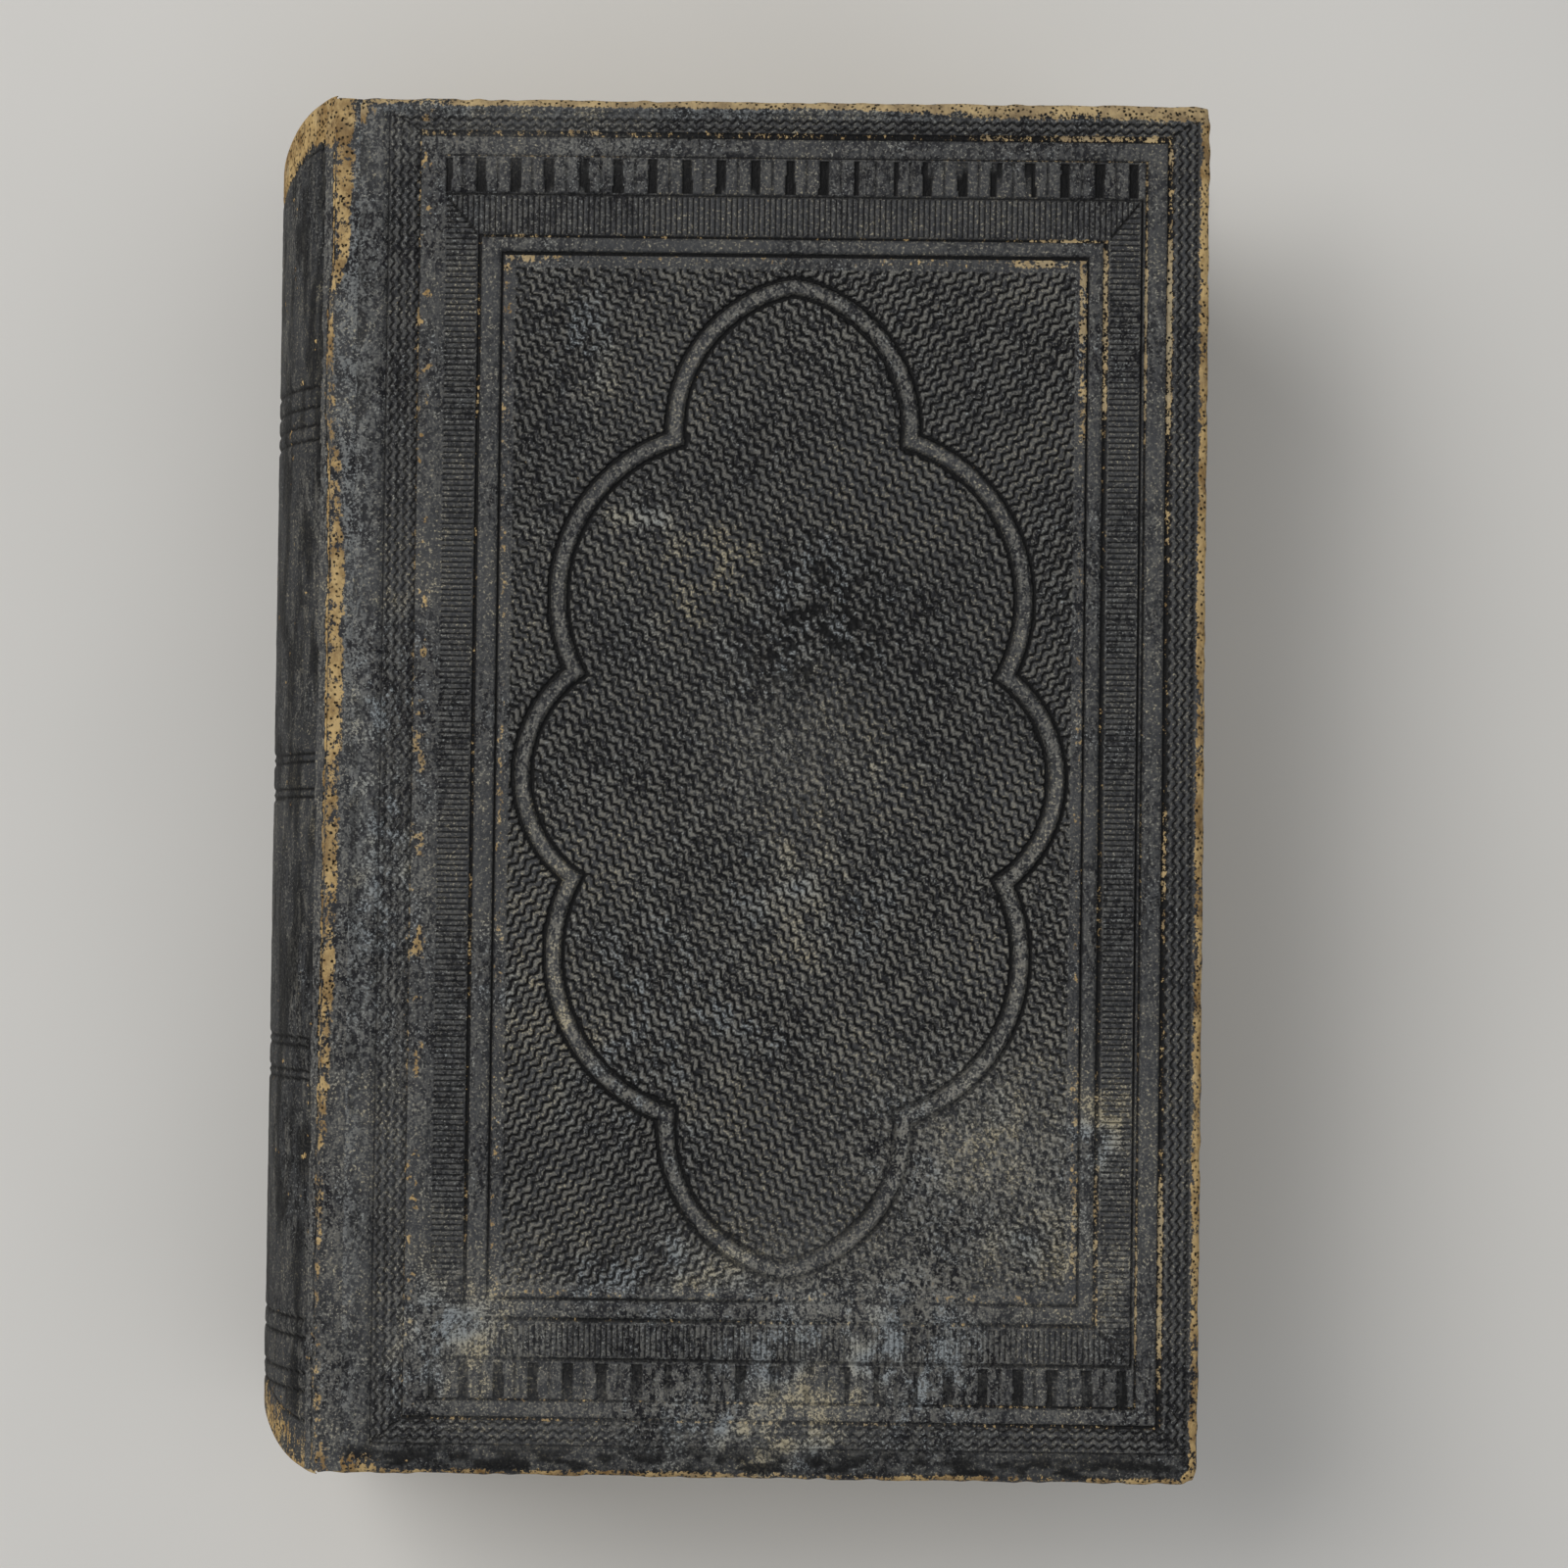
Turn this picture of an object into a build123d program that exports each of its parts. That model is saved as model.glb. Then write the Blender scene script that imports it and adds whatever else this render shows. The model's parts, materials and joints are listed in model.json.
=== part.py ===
from build123d import *
import math
import os

# A small leather-bound prayer book, closed and lying on its back cover.
# +X runs from the spine to the fore edge, +Y from the tail to the head, +Z up.
# The origin is the middle of the book's footprint. All sizes are millimetres.

# Driving sizes of the closed book
COVER_HEIGHT = 150.0  # tail to head
COVER_WIDTH = 95.5  # ridge to fore edge
BOOK_THICKNESS = 40.0  # over both covers
SPINE_ROUND = 8.4  # how far the rounded spine stands out past the ridges
CAP_DROP = 5.5  # how far the caps fall away at the crown of the spine

# Layers of a cover, from the outside in
LEATHER = 0.8
BOARD = 2.4
TURN_IN = 0.5  # pared leather folded over the board's inner face
PASTEDOWN = 0.2

# Other sizes of a cover
TURN_IN_WIDTH = 12.0
SQUARE = 3.5  # how far a cover stands past the leaves
CORNER_ROUND = 2.2
EDGE_ROUND = 0.9
PLATE_DEPTH = 0.3  # how deep the blind stamping goes
BAND_WIDTH = 1.9  # raised band of the lobed panel

# The stamped plate: how far each line lies from the fore, ridge, head and tail sides
BORDER_OUTER = (1.3, 5.8, 1.4, 3.4)
BORDER_INNER = (4.4, 9.1, 3.9, 6.2)
RIBS_OUTER = (7.2, 12.0, 10.6, 12.8)
RIBS_INNER = (11.2, 15.7, 15.0, 16.9)
FIELD = (13.2, 18.6, 17.4, 19.5)

# The lobed panel, measured from its own middle
PANEL_TIP = 54.5
PANEL_END_SIDE = (10.7, 47.7)
PANEL_UPPER_CUSP = (13.8, 37.4)
PANEL_SHOULDER = (24.5, 27.6)
PANEL_LOWER_CUSP = (24.6, 11.5)
PANEL_MIDDLE = 30.0

# Leaves
GATHERINGS_EACH_HALF = 6
FORE_HOLLOW = 5.0  # hollow of the fore edge
LEAF = 0.12
FOLD_NICK = 0.35  # depth of the nick between two folded sections

# Spine pieces, from the outside in
LINING_PAPER = 0.25
MULL = 0.3
CAP_TURN_IN = 0.6
CAP_TURN_IN_LENGTH = 11.0
CORD_DIAMETER = 1.2
CORD_PLACES = (-50.0, -17.0, 17.0, 50.0)
KETTLE_DIAMETER = 0.5
KETTLE_PLACES = (-63.0, 63.0)
ENDBAND_CORE = 1.4
ENDBAND_SILK = 0.3

# Clearances
GLUE_LINE = 0.05  # between pieces that are pasted together on the curved spine
SWING_GAP = 0.1  # between a cover and what it swings past
LEAF_GAP = 0.08  # on each face of a leaf that turns
KERF_CLEARANCE = 0.15  # round a cord in its sawn kerf

# Places worked out from the sizes above
FORE_X = (COVER_WIDTH + SPINE_ROUND) / 2
RIDGE_X = FORE_X - COVER_WIDTH
CROWN_X = RIDGE_X - SPINE_ROUND
MIDDLE_Z = BOOK_THICKNESS / 2
HALF_HEIGHT = COVER_HEIGHT / 2
LEAF_HALF_HEIGHT = HALF_HEIGHT - SQUARE
STACK = LEATHER + BOARD + TURN_IN + PASTEDOWN
LEAF_FORE_X = FORE_X - SQUARE

# The spine is an arc over the book's whole thickness
SPINE_RADIUS = (MIDDLE_Z**2 + SPINE_ROUND**2) / (2 * SPINE_ROUND)
SPINE_CENTRE_X = CROWN_X + SPINE_RADIUS
LINING_RADIUS = SPINE_RADIUS - LEATHER - GLUE_LINE
MULL_RADIUS = LINING_RADIUS - LINING_PAPER - GLUE_LINE
FOLD_RADIUS = MULL_RADIUS - MULL - GLUE_LINE
CAP_INNER_RADIUS = SPINE_RADIUS - LEATHER - CAP_TURN_IN
LINING_HALF_HEIGHT = HALF_HEIGHT - CAP_TURN_IN_LENGTH - GLUE_LINE

# Levels of the leaves between the covers
COVER_INNER_Z = BOOK_THICKNESS - STACK
FLYLEAF_Z = COVER_INNER_Z - LEAF_GAP - LEAF / 2
BLOCK_TOP_Z = FLYLEAF_Z - LEAF / 2 - LEAF_GAP
MIDDLE_LEAF_RISE = LEAF_GAP / 2 + LEAF / 2
HALF_START = MIDDLE_LEAF_RISE + LEAF / 2 + LEAF_GAP
GATHERING_THICKNESS = (BLOCK_TOP_Z - MIDDLE_Z - HALF_START) / GATHERINGS_EACH_HALF

# The hollow fore edge is an arc over the block's thickness
BLOCK_HALF = BLOCK_TOP_Z - MIDDLE_Z
FORE_RADIUS = (BLOCK_HALF**2 + FORE_HOLLOW**2) / (2 * FORE_HOLLOW)


def box(x_range, y_range, z_range):
    """A block between two corners."""
    lengths = [high - low for low, high in (x_range, y_range, z_range)]
    middle = [(high + low) / 2 for low, high in (x_range, y_range, z_range)]
    return Pos(*middle) * Box(*lengths)


def flipped(part):
    """The same piece on the other side of the book's middle plane."""
    return mirror(part, about=Plane.XY.offset(MIDDLE_Z))


# ---- covers ----


def plate_rectangle(margins):
    """A rectangle of the stamped plate, as a sketch at the front cover's face."""
    fore, ridge, head, tail = margins
    width = COVER_WIDTH - fore - ridge
    height = COVER_HEIGHT - head - tail
    centre_x = (RIDGE_X + ridge + FORE_X - fore) / 2
    centre_y = (tail - head) / 2
    return Pos(centre_x, centre_y) * Rectangle(width, height)


def lobed_panel():
    """The lobed panel's outline as a face, about the middle of the field."""
    fore, ridge, head, tail = FIELD
    corners = []
    for x_sign, y_sign in ((1, 1), (1, -1), (-1, -1), (-1, 1)):
        upper = (PANEL_UPPER_CUSP[0] * x_sign, PANEL_UPPER_CUSP[1] * y_sign)
        lower = (PANEL_LOWER_CUSP[0] * x_sign, PANEL_LOWER_CUSP[1] * y_sign)
        side = (PANEL_END_SIDE[0] * x_sign, PANEL_END_SIDE[1] * y_sign)
        shoulder = (PANEL_SHOULDER[0] * x_sign, PANEL_SHOULDER[1] * y_sign)
        corners.append(ThreePointArc((0, PANEL_TIP * y_sign), side, upper))
        corners.append(ThreePointArc(upper, shoulder, lower))
    for x_sign in (1, -1):
        lower = (PANEL_LOWER_CUSP[0] * x_sign, PANEL_LOWER_CUSP[1])
        under = (PANEL_LOWER_CUSP[0] * x_sign, -PANEL_LOWER_CUSP[1])
        corners.append(ThreePointArc(lower, (PANEL_MIDDLE * x_sign, 0), under))
    outline = make_face(Curve() + corners)
    centre_x = (RIDGE_X + ridge + FORE_X - fore) / 2
    centre_y = (tail - head) / 2
    return Pos(centre_x, centre_y) * outline


def stamping():
    """What the blind stamping sinks below the leather's face."""
    border = plate_rectangle(BORDER_OUTER) - plate_rectangle(BORDER_INNER)
    ribs = plate_rectangle(RIBS_OUTER) - plate_rectangle(RIBS_INNER)
    panel = lobed_panel()
    band = panel - offset(panel, amount=-BAND_WIDTH)
    field = plate_rectangle(FIELD) - band
    sunk = []
    for area in (border, ribs, field):
        for face in area.faces():
            sunk.append(Pos(0, 0, BOOK_THICKNESS) * extrude(face, -PLATE_DEPTH))
    return sunk


def cover_board():
    joint_x = RIDGE_X + SWING_GAP
    side = HALF_HEIGHT - LEATHER
    top = BOOK_THICKNESS - LEATHER
    board = box((joint_x, FORE_X - LEATHER), (-side, side), (top - BOARD, top))
    corners = board.edges().filter_by(Axis.Z).group_by(Axis.X)[-1]
    return fillet(corners, CORNER_ROUND - LEATHER)


def cover_card():
    joint_x = RIDGE_X + SWING_GAP
    side = HALF_HEIGHT - TURN_IN_WIDTH
    top = BOOK_THICKNESS - LEATHER - BOARD
    return box((joint_x, FORE_X - TURN_IN_WIDTH), (-side, side), (top - TURN_IN, top))


def cover_pastedown():
    joint_x = RIDGE_X + SWING_GAP
    top = BOOK_THICKNESS - LEATHER - BOARD - TURN_IN
    sides = (-LEAF_HALF_HEIGHT, LEAF_HALF_HEIGHT)
    return box((joint_x, LEAF_FORE_X), sides, (top - PASTEDOWN, top))


def cover_leather():
    """Leather over the board, folded round three edges and pared on the inside."""
    joint_x = RIDGE_X + SWING_GAP
    depth = LEATHER + BOARD + TURN_IN
    levels = (BOOK_THICKNESS - depth, BOOK_THICKNESS)
    skin = box((joint_x, FORE_X), (-HALF_HEIGHT, HALF_HEIGHT), levels)
    corners = skin.edges().filter_by(Axis.Z).group_by(Axis.X)[-1]
    skin = fillet(corners, CORNER_ROUND)
    rim = skin.edges().group_by(Axis.Z)[-1]
    rim = rim.filter_by(lambda edge: edge.center().X > joint_x + CORNER_ROUND / 2)
    skin = fillet(rim, EDGE_ROUND)
    skin = skin - cover_board() - cover_card()
    for sunk in stamping():
        skin = skin - sunk
    return skin


# ---- leaves ----


def fold_x(z):
    """Where the back fold of a section lies at this height."""
    return SPINE_CENTRE_X - math.sqrt(FOLD_RADIUS**2 - (z - MIDDLE_Z) ** 2)


def fore_edge_x(z):
    """Where the trimmed fore edge lies at this height."""
    arc = FORE_RADIUS - math.sqrt(FORE_RADIUS**2 - (z - MIDDLE_Z) ** 2)
    return LEAF_FORE_X - FORE_HOLLOW + arc


def kerfs():
    """The kerfs sawn across the folds for the cords and the kettle stitches."""
    cuts = []
    seats = [(place, CORD_DIAMETER) for place in CORD_PLACES]
    seats += [(place, KETTLE_DIAMETER) for place in KETTLE_PLACES]
    for place, diameter in seats:
        depth = diameter + 2 * KERF_CLEARANCE
        sides = (place - depth / 2, place + depth / 2)
        cuts.append(spine_ring(MULL_RADIUS, FOLD_RADIUS - depth, sides, 0))
    return cuts


def gathering(number):
    """One folded section. Number 0 lies next to the middle opening."""
    low = MIDDLE_Z + HALF_START + number * GATHERING_THICKNESS
    high = low + GATHERING_THICKNESS
    middle = (low + high) / 2
    outermost = number == GATHERINGS_EACH_HALF - 1
    foot = (fold_x(low) + FOLD_NICK, low)
    back = (fold_x(middle), middle)
    if outermost:
        # The outermost section is backed over into the shoulder that the board sits against.
        tip_x = RIDGE_X - SWING_GAP
        tip_z = MIDDLE_Z + math.sqrt(FOLD_RADIUS**2 - (tip_x - SPINE_CENTRE_X) ** 2)
        head = (fold_x(high), high)
        spine_side = [ThreePointArc(foot, back, head)]
        spine_side.append(Polyline(head, (tip_x, tip_z), (tip_x, high)))
        start = (tip_x, high)
    else:
        start = (fold_x(high) + FOLD_NICK, high)
        spine_side = [ThreePointArc(foot, back, start)]
    edge_top = (fore_edge_x(high), high)
    edge_middle = (fore_edge_x(middle), middle)
    edge_foot = (fore_edge_x(low), low)
    rest = [
        Line(start, edge_top),
        ThreePointArc(edge_top, edge_middle, edge_foot),
        Line(edge_foot, foot),
    ]
    profile = Plane.XZ * make_face(Curve() + spine_side + rest)
    section = extrude(profile, LEAF_HALF_HEIGHT, both=True)
    for kerf in kerfs():
        section = section - kerf
    return section


def leaf(fold, edge, z):
    """A single leaf, from its fold to its fore edge."""
    sides = (-LEAF_HALF_HEIGHT, LEAF_HALF_HEIGHT)
    return box((fold, edge), sides, (z - LEAF / 2, z + LEAF / 2))


# ---- spine ----


def spine_ring(outer, inner, y_range, ridge_gap):
    """A stretch of the spine's round between two radii, cut off short of the ridges."""
    length = y_range[1] - y_range[0]
    place = Pos(SPINE_CENTRE_X, (y_range[0] + y_range[1]) / 2, MIDDLE_Z) * Rot(90, 0, 0)
    ring = place * Cylinder(outer, length) - place * Cylinder(inner, length)
    levels = (MIDDLE_Z - outer, MIDDLE_Z + outer)
    return ring & box((SPINE_CENTRE_X - outer, RIDGE_X - ridge_gap), y_range, levels)


def spine_rod(radius, y, diameter, bore=0):
    """A round cord laid along the spine's round at one height of the book."""
    reach = math.degrees(math.acos((SPINE_CENTRE_X - RIDGE_X + diameter) / radius))
    centre = Pos(SPINE_CENTRE_X, y, MIDDLE_Z)
    section = centre * Rot(0, -reach, 0) * Pos(-radius, 0, 0) * Circle(diameter / 2)
    axis = Axis((SPINE_CENTRE_X, y, MIDDLE_Z), (0, 1, 0))
    rod = revolve(section, axis, 2 * reach)
    if bore:
        rod = rod - spine_rod(radius, y, bore)
    return rod


def cap_outline():
    """The spine seen from the front: straight, with its head and tail rounded off."""
    crown = HALF_HEIGHT - CAP_DROP
    outline = box((CROWN_X, RIDGE_X), (-crown, crown), (0, BOOK_THICKNESS))
    for place in (-crown, crown):
        end = extrude(Pos(RIDGE_X, place) * Ellipse(SPINE_ROUND, CAP_DROP), BOOK_THICKNESS)
        outline = outline + end
    return outline


def spine_leather():
    """The tight leather back, doubled at head and tail where it is turned in."""
    full = (-HALF_HEIGHT, HALF_HEIGHT)
    back = spine_ring(SPINE_RADIUS, SPINE_RADIUS - LEATHER, full, SWING_GAP)
    turn = HALF_HEIGHT - CAP_TURN_IN_LENGTH
    for ends in ((-HALF_HEIGHT, -turn), (turn, HALF_HEIGHT)):
        back = back + spine_ring(SPINE_RADIUS, CAP_INNER_RADIUS, ends, SWING_GAP)
    return back & cap_outline()


def spine_lining(outer, thickness):
    sides = (-LINING_HALF_HEIGHT, LINING_HALF_HEIGHT)
    return spine_ring(outer, outer - thickness, sides, SWING_GAP)


def endband(place, diameter, bore=0):
    """An endband seated on the leaves at the head or the tail, behind the cap."""
    full = ENDBAND_CORE + 2 * ENDBAND_SILK
    y = place * (LEAF_HALF_HEIGHT + GLUE_LINE + full / 2)
    return spine_rod(FOLD_RADIUS - full / 2, y, diameter, bore)


pieces = {}

pieces["front_cover_leather"] = cover_leather()
pieces["front_board"] = cover_board()
pieces["front_infill_card"] = cover_card()
pieces["front_pastedown"] = cover_pastedown()
for name in list(pieces):
    pieces[name.replace("front_", "back_")] = flipped(pieces[name])

for number in range(GATHERINGS_EACH_HALF):
    section = gathering(number)
    pieces[f"gathering_{GATHERINGS_EACH_HALF - number:02d}"] = section
    pieces[f"gathering_{GATHERINGS_EACH_HALF + number + 1:02d}"] = flipped(section)

flyleaf = leaf(RIDGE_X + SWING_GAP, LEAF_FORE_X, FLYLEAF_Z)
pieces["front_flyleaf"] = flyleaf
pieces["back_flyleaf"] = flipped(flyleaf)
inner_fold = fold_x(MIDDLE_Z) + CORD_DIAMETER + 2 * KERF_CLEARANCE
middle_leaf = leaf(inner_fold, fore_edge_x(MIDDLE_Z), MIDDLE_Z + MIDDLE_LEAF_RISE)
pieces["left_middle_leaf"] = middle_leaf
pieces["right_middle_leaf"] = flipped(middle_leaf)

pieces["spine_leather"] = spine_leather()
pieces["spine_lining_paper"] = spine_lining(LINING_RADIUS, LINING_PAPER)
pieces["spine_mull"] = spine_lining(MULL_RADIUS, MULL)
for number, place in enumerate(CORD_PLACES, 1):
    seat = FOLD_RADIUS - KERF_CLEARANCE - CORD_DIAMETER / 2
    pieces[f"sewing_cord_{number}"] = spine_rod(seat, place, CORD_DIAMETER)
for name, place in zip(("tail", "head"), KETTLE_PLACES):
    seat = FOLD_RADIUS - KERF_CLEARANCE - KETTLE_DIAMETER / 2
    pieces[f"{name}_kettle_stitch"] = spine_rod(seat, place, KETTLE_DIAMETER)
for name, side in (("tail", -1), ("head", 1)):
    wrapped = ENDBAND_CORE + 2 * ENDBAND_SILK
    pieces[f"{name}_endband_core"] = endband(side, ENDBAND_CORE)
    pieces[f"{name}_endband_silk"] = endband(side, wrapped, ENDBAND_CORE)

os.makedirs("parts", exist_ok=True)
for name, shape in pieces.items():
    export_step(shape, f"parts/{name}.step")
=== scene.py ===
"""Looks of a small leather-bound prayer book: blind-stamped black calf, worn to tan along its edges."""

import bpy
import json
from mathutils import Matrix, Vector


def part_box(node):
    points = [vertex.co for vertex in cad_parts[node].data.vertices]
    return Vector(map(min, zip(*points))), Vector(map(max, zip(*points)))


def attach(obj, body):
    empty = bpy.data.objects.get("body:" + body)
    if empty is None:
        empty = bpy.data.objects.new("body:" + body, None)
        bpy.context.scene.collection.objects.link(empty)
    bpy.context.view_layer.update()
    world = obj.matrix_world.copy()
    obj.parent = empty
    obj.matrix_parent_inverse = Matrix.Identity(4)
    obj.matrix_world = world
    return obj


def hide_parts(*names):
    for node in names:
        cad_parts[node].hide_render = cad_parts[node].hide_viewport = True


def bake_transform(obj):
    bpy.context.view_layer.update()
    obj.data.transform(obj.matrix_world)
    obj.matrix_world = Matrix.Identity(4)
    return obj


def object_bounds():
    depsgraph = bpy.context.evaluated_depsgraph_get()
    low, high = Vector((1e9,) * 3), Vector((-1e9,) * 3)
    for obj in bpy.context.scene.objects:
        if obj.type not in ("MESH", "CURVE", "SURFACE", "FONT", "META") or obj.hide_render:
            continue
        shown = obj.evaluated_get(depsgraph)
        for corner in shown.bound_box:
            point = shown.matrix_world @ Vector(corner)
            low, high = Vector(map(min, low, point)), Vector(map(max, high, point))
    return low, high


bl_info = {
    "name": "Leather Prayer Book",
    "version": (1, 0, 0),
    "blender": (4, 5, 0),
    "location": "3D View > Sidebar > Prayer Book",
    "description": "Builds the leather, paper, thread and stage of a small closed prayer book",
    "category": "Add Mesh",
}

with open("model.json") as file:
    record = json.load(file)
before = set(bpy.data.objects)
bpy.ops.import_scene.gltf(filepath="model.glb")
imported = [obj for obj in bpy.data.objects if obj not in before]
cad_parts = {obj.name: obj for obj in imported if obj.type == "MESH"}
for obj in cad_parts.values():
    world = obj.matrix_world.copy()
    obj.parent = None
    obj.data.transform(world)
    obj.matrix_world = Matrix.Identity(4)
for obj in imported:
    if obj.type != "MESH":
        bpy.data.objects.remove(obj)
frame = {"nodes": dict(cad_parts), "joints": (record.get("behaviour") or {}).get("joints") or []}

import json
import math

import bpy
import numpy as np
from bpy.props import FloatProperty, FloatVectorProperty, PointerProperty
from mathutils import Vector

CAD_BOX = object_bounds()
MM = 0.001

# ---- places, in millimetres, read from the frame ----


def corners(node):
    """The lowest and highest corner of a CAD node in millimetres."""
    low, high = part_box(node)
    return np.array(low) / MM, np.array(high) / MM


def joint_place(name):
    """Where a joint's axis lies, in millimetres."""
    joint = next(j for j in frame["joints"] if j["name"] == name)
    return np.array(joint["pos_m"]) / MM


BOOK_HIGH = np.array(CAD_BOX[1]) / MM
LEATHER_LOW, LEATHER_HIGH = corners("front_cover_leather")
PASTE_LOW, PASTE_HIGH = corners("front_pastedown")
BOARD_INSIDE = corners("front_board")[0][2]

CROWN_X, _, MIDDLE_Z = joint_place("book_opening")
RIDGE_X = joint_place("front_cover_opening")[0]
TOP_Z = BOOK_HIGH[2]
HALF_HEIGHT = BOOK_HIGH[1]
COVER_WIDTH = BOOK_HIGH[0] - RIDGE_X
SPINE_ROUND = RIDGE_X - CROWN_X
SPINE_RADIUS = (MIDDLE_Z**2 + SPINE_ROUND**2) / (2 * SPINE_ROUND)
SPINE_CENTRE_X = CROWN_X + SPINE_RADIUS
SPINE_SPREAD = math.asin(MIDDLE_Z / SPINE_RADIUS)

# ---- numbers made into noise ----


def speckle(x, y, cell, seed):
    """Smooth seeded noise from 0 to 1 over a plane, with features about one cell across."""
    size = 256
    lattice = np.random.default_rng(seed).random((size, size))
    u, v = x / cell, y / cell
    i, j = np.floor(u).astype(int), np.floor(v).astype(int)
    f, g = u - i, v - j
    f, g = f * f * (3 - 2 * f), g * g * (3 - 2 * g)
    i, j = i % size, j % size
    k, m = (i + 1) % size, (j + 1) % size
    low = lattice[i, j] * (1 - f) + lattice[k, j] * f
    high = lattice[i, m] * (1 - f) + lattice[k, m] * f
    return low * (1 - g) + high * g


def mottle(x, y, cell, seed, octaves=3):
    """Speckle at several scales, each half the size and strength of the last."""
    total, weight = 0.0, 0.0
    for octave in range(octaves):
        share = 0.55**octave
        total = total + share * speckle(x, y, cell / 2**octave, seed + octave)
        weight += share
    return total / weight


def step(value, low, high):
    """A smooth rise from 0 at low to 1 at high."""
    t = np.clip((value - low) / (high - low), 0, 1)
    return t * t * (3 - 2 * t)


def spots(x, y, places):
    """Soft round patches: each place is (x, y, reach in x, reach in y, strength)."""
    total = np.zeros_like(x)
    for px, py, rx, ry, strength in places:
        away = ((x - px) / rx) ** 2 + ((y - py) / ry) ** 2
        total = np.maximum(total, strength * np.exp(-away))
    return total


# ---- meshes ----


def sheet(points, marks, flip=False, closed=False):
    """A patch: a grid of points in millimetres with its faces and its marks.

    A flipped patch faces the other way, and in a closed one each row is a ring.
    """
    rows, columns = points.shape[:2]
    index = np.arange(rows * columns).reshape(rows, columns)
    if closed:
        index = np.hstack([index, index[:, :1]])
    ring = (index[:-1, :-1], index[1:, :-1], index[1:, 1:], index[:-1, 1:])
    quads = np.stack(ring, axis=-1).reshape(-1, 4)
    if flip:
        quads = quads[:, ::-1]
    named = {key: np.broadcast_to(value, (rows, columns)).ravel() for key, value in marks.items()}
    return points.reshape(-1, 3), quads, named


def piece(name, patches, material):
    """One object made of patches, with its material."""
    points = np.concatenate([patch[0] for patch in patches]) * MM
    shift, quads = 0, []
    for patch in patches:
        quads.append(patch[1] + shift)
        shift += len(patch[0])
    quads = np.concatenate(quads)
    mesh = bpy.data.meshes.new(name)
    mesh.vertices.add(len(points))
    mesh.vertices.foreach_set("co", points.astype(np.float32).ravel())
    mesh.loops.add(quads.size)
    mesh.loops.foreach_set("vertex_index", quads.astype(np.int32).ravel())
    mesh.polygons.add(len(quads))
    mesh.polygons.foreach_set("loop_start", np.arange(0, quads.size, 4, dtype=np.int32))
    mesh.polygons.foreach_set("use_smooth", np.ones(len(quads), dtype=bool))
    mesh.update(calc_edges=True)
    mesh.validate()
    for key in sorted({key for patch in patches for key in patch[2]}):
        values = [patch[2].get(key, np.zeros(len(patch[0]))) for patch in patches]
        mark = mesh.attributes.new(key, "FLOAT", "POINT")
        mark.data.foreach_set("value", np.concatenate(values).astype(np.float32))
    mesh.materials.append(material)
    made = bpy.data.objects.new(name, mesh)
    bpy.context.scene.collection.objects.link(made)
    return made


def mirrored(patch):
    """The same patch on the other side of the book's middle plane."""
    points = patch[0].copy()
    points[:, 2] = 2 * MIDDLE_Z - points[:, 2]
    return points, patch[1][:, ::-1], patch[2]


# ---- nodes and colours ----

# The Mix node's sockets, whose names repeat: its share, its two numbers and its two colours
SHARE, FIRST, SECOND, BELOW, ABOVE = 0, 2, 3, 6, 7


def linear(code):
    """An sRGB hex colour as linear RGBA."""
    parts = [int(code[i : i + 2], 16) / 255 for i in (1, 3, 5)]
    return (*[c / 12.92 if c <= 0.04045 else ((c + 0.055) / 1.055) ** 2.4 for c in parts], 1.0)


def aged(colour, share):
    """A colour darkened to a share of itself, browning as it darkens."""
    red, green, blue = colour[:3]
    return red * share, green * share * 0.93, blue * share * 0.82, 1.0


def add(tree, kind, inputs, output=None, **settings):
    """Adds a node with its settings, fills its inputs with values or links, and gives its output.

    An input goes by its name, or by its number where a node has several of that name.
    """
    made = tree.nodes.new("ShaderNode" + kind)
    for name, value in settings.items():
        setattr(made, name, value)
    for name, value in inputs.items():
        if isinstance(value, bpy.types.NodeSocket):
            tree.links.new(value, made.inputs[name])
        else:
            made.inputs[name].default_value = value
    if output:
        return made.outputs[output]
    return next((socket for socket in made.outputs if socket.enabled), None)


def new_material(name):
    """An empty material, its node tree, and the place on the object in millimetres.

    With places in millimetres, a pattern's scale is one over the size of its features.
    """
    material = bpy.data.materials.new(name)
    material.use_nodes = True
    tree = material.node_tree
    tree.nodes.clear()
    here = add(tree, "TexCoord", {}, "Object")
    return material, tree, add(tree, "VectorMath", {0: here, "Scale": 1 / MM}, operation="SCALE")


def coat(tree, below, colour, where, low, high, most=1.0):
    """Lays a colour over what is below: none where a value is low, most where it is high."""
    bounds = {"Value": where, "From Min": low, "From Max": high, "To Max": most}
    share = add(tree, "MapRange", bounds, interpolation_type="SMOOTHSTEP")
    return add(tree, "Mix", {SHARE: share, BELOW: below, ABOVE: colour}, data_type="RGBA")


def surfaced(material, inputs, height=None, depth=0.0):
    """Finishes a material: its shader's inputs, and bumps this many millimetres deep."""
    tree = material.node_tree
    if height:
        bumps = {"Height": height, "Strength": 1.0, "Distance": depth * MM}
        inputs = {**inputs, "Normal": add(tree, "Bump", bumps)}
    add(tree, "OutputMaterial", {"Surface": add(tree, "BsdfPrincipled", inputs)})
    return material


# ---- materials ----


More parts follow.
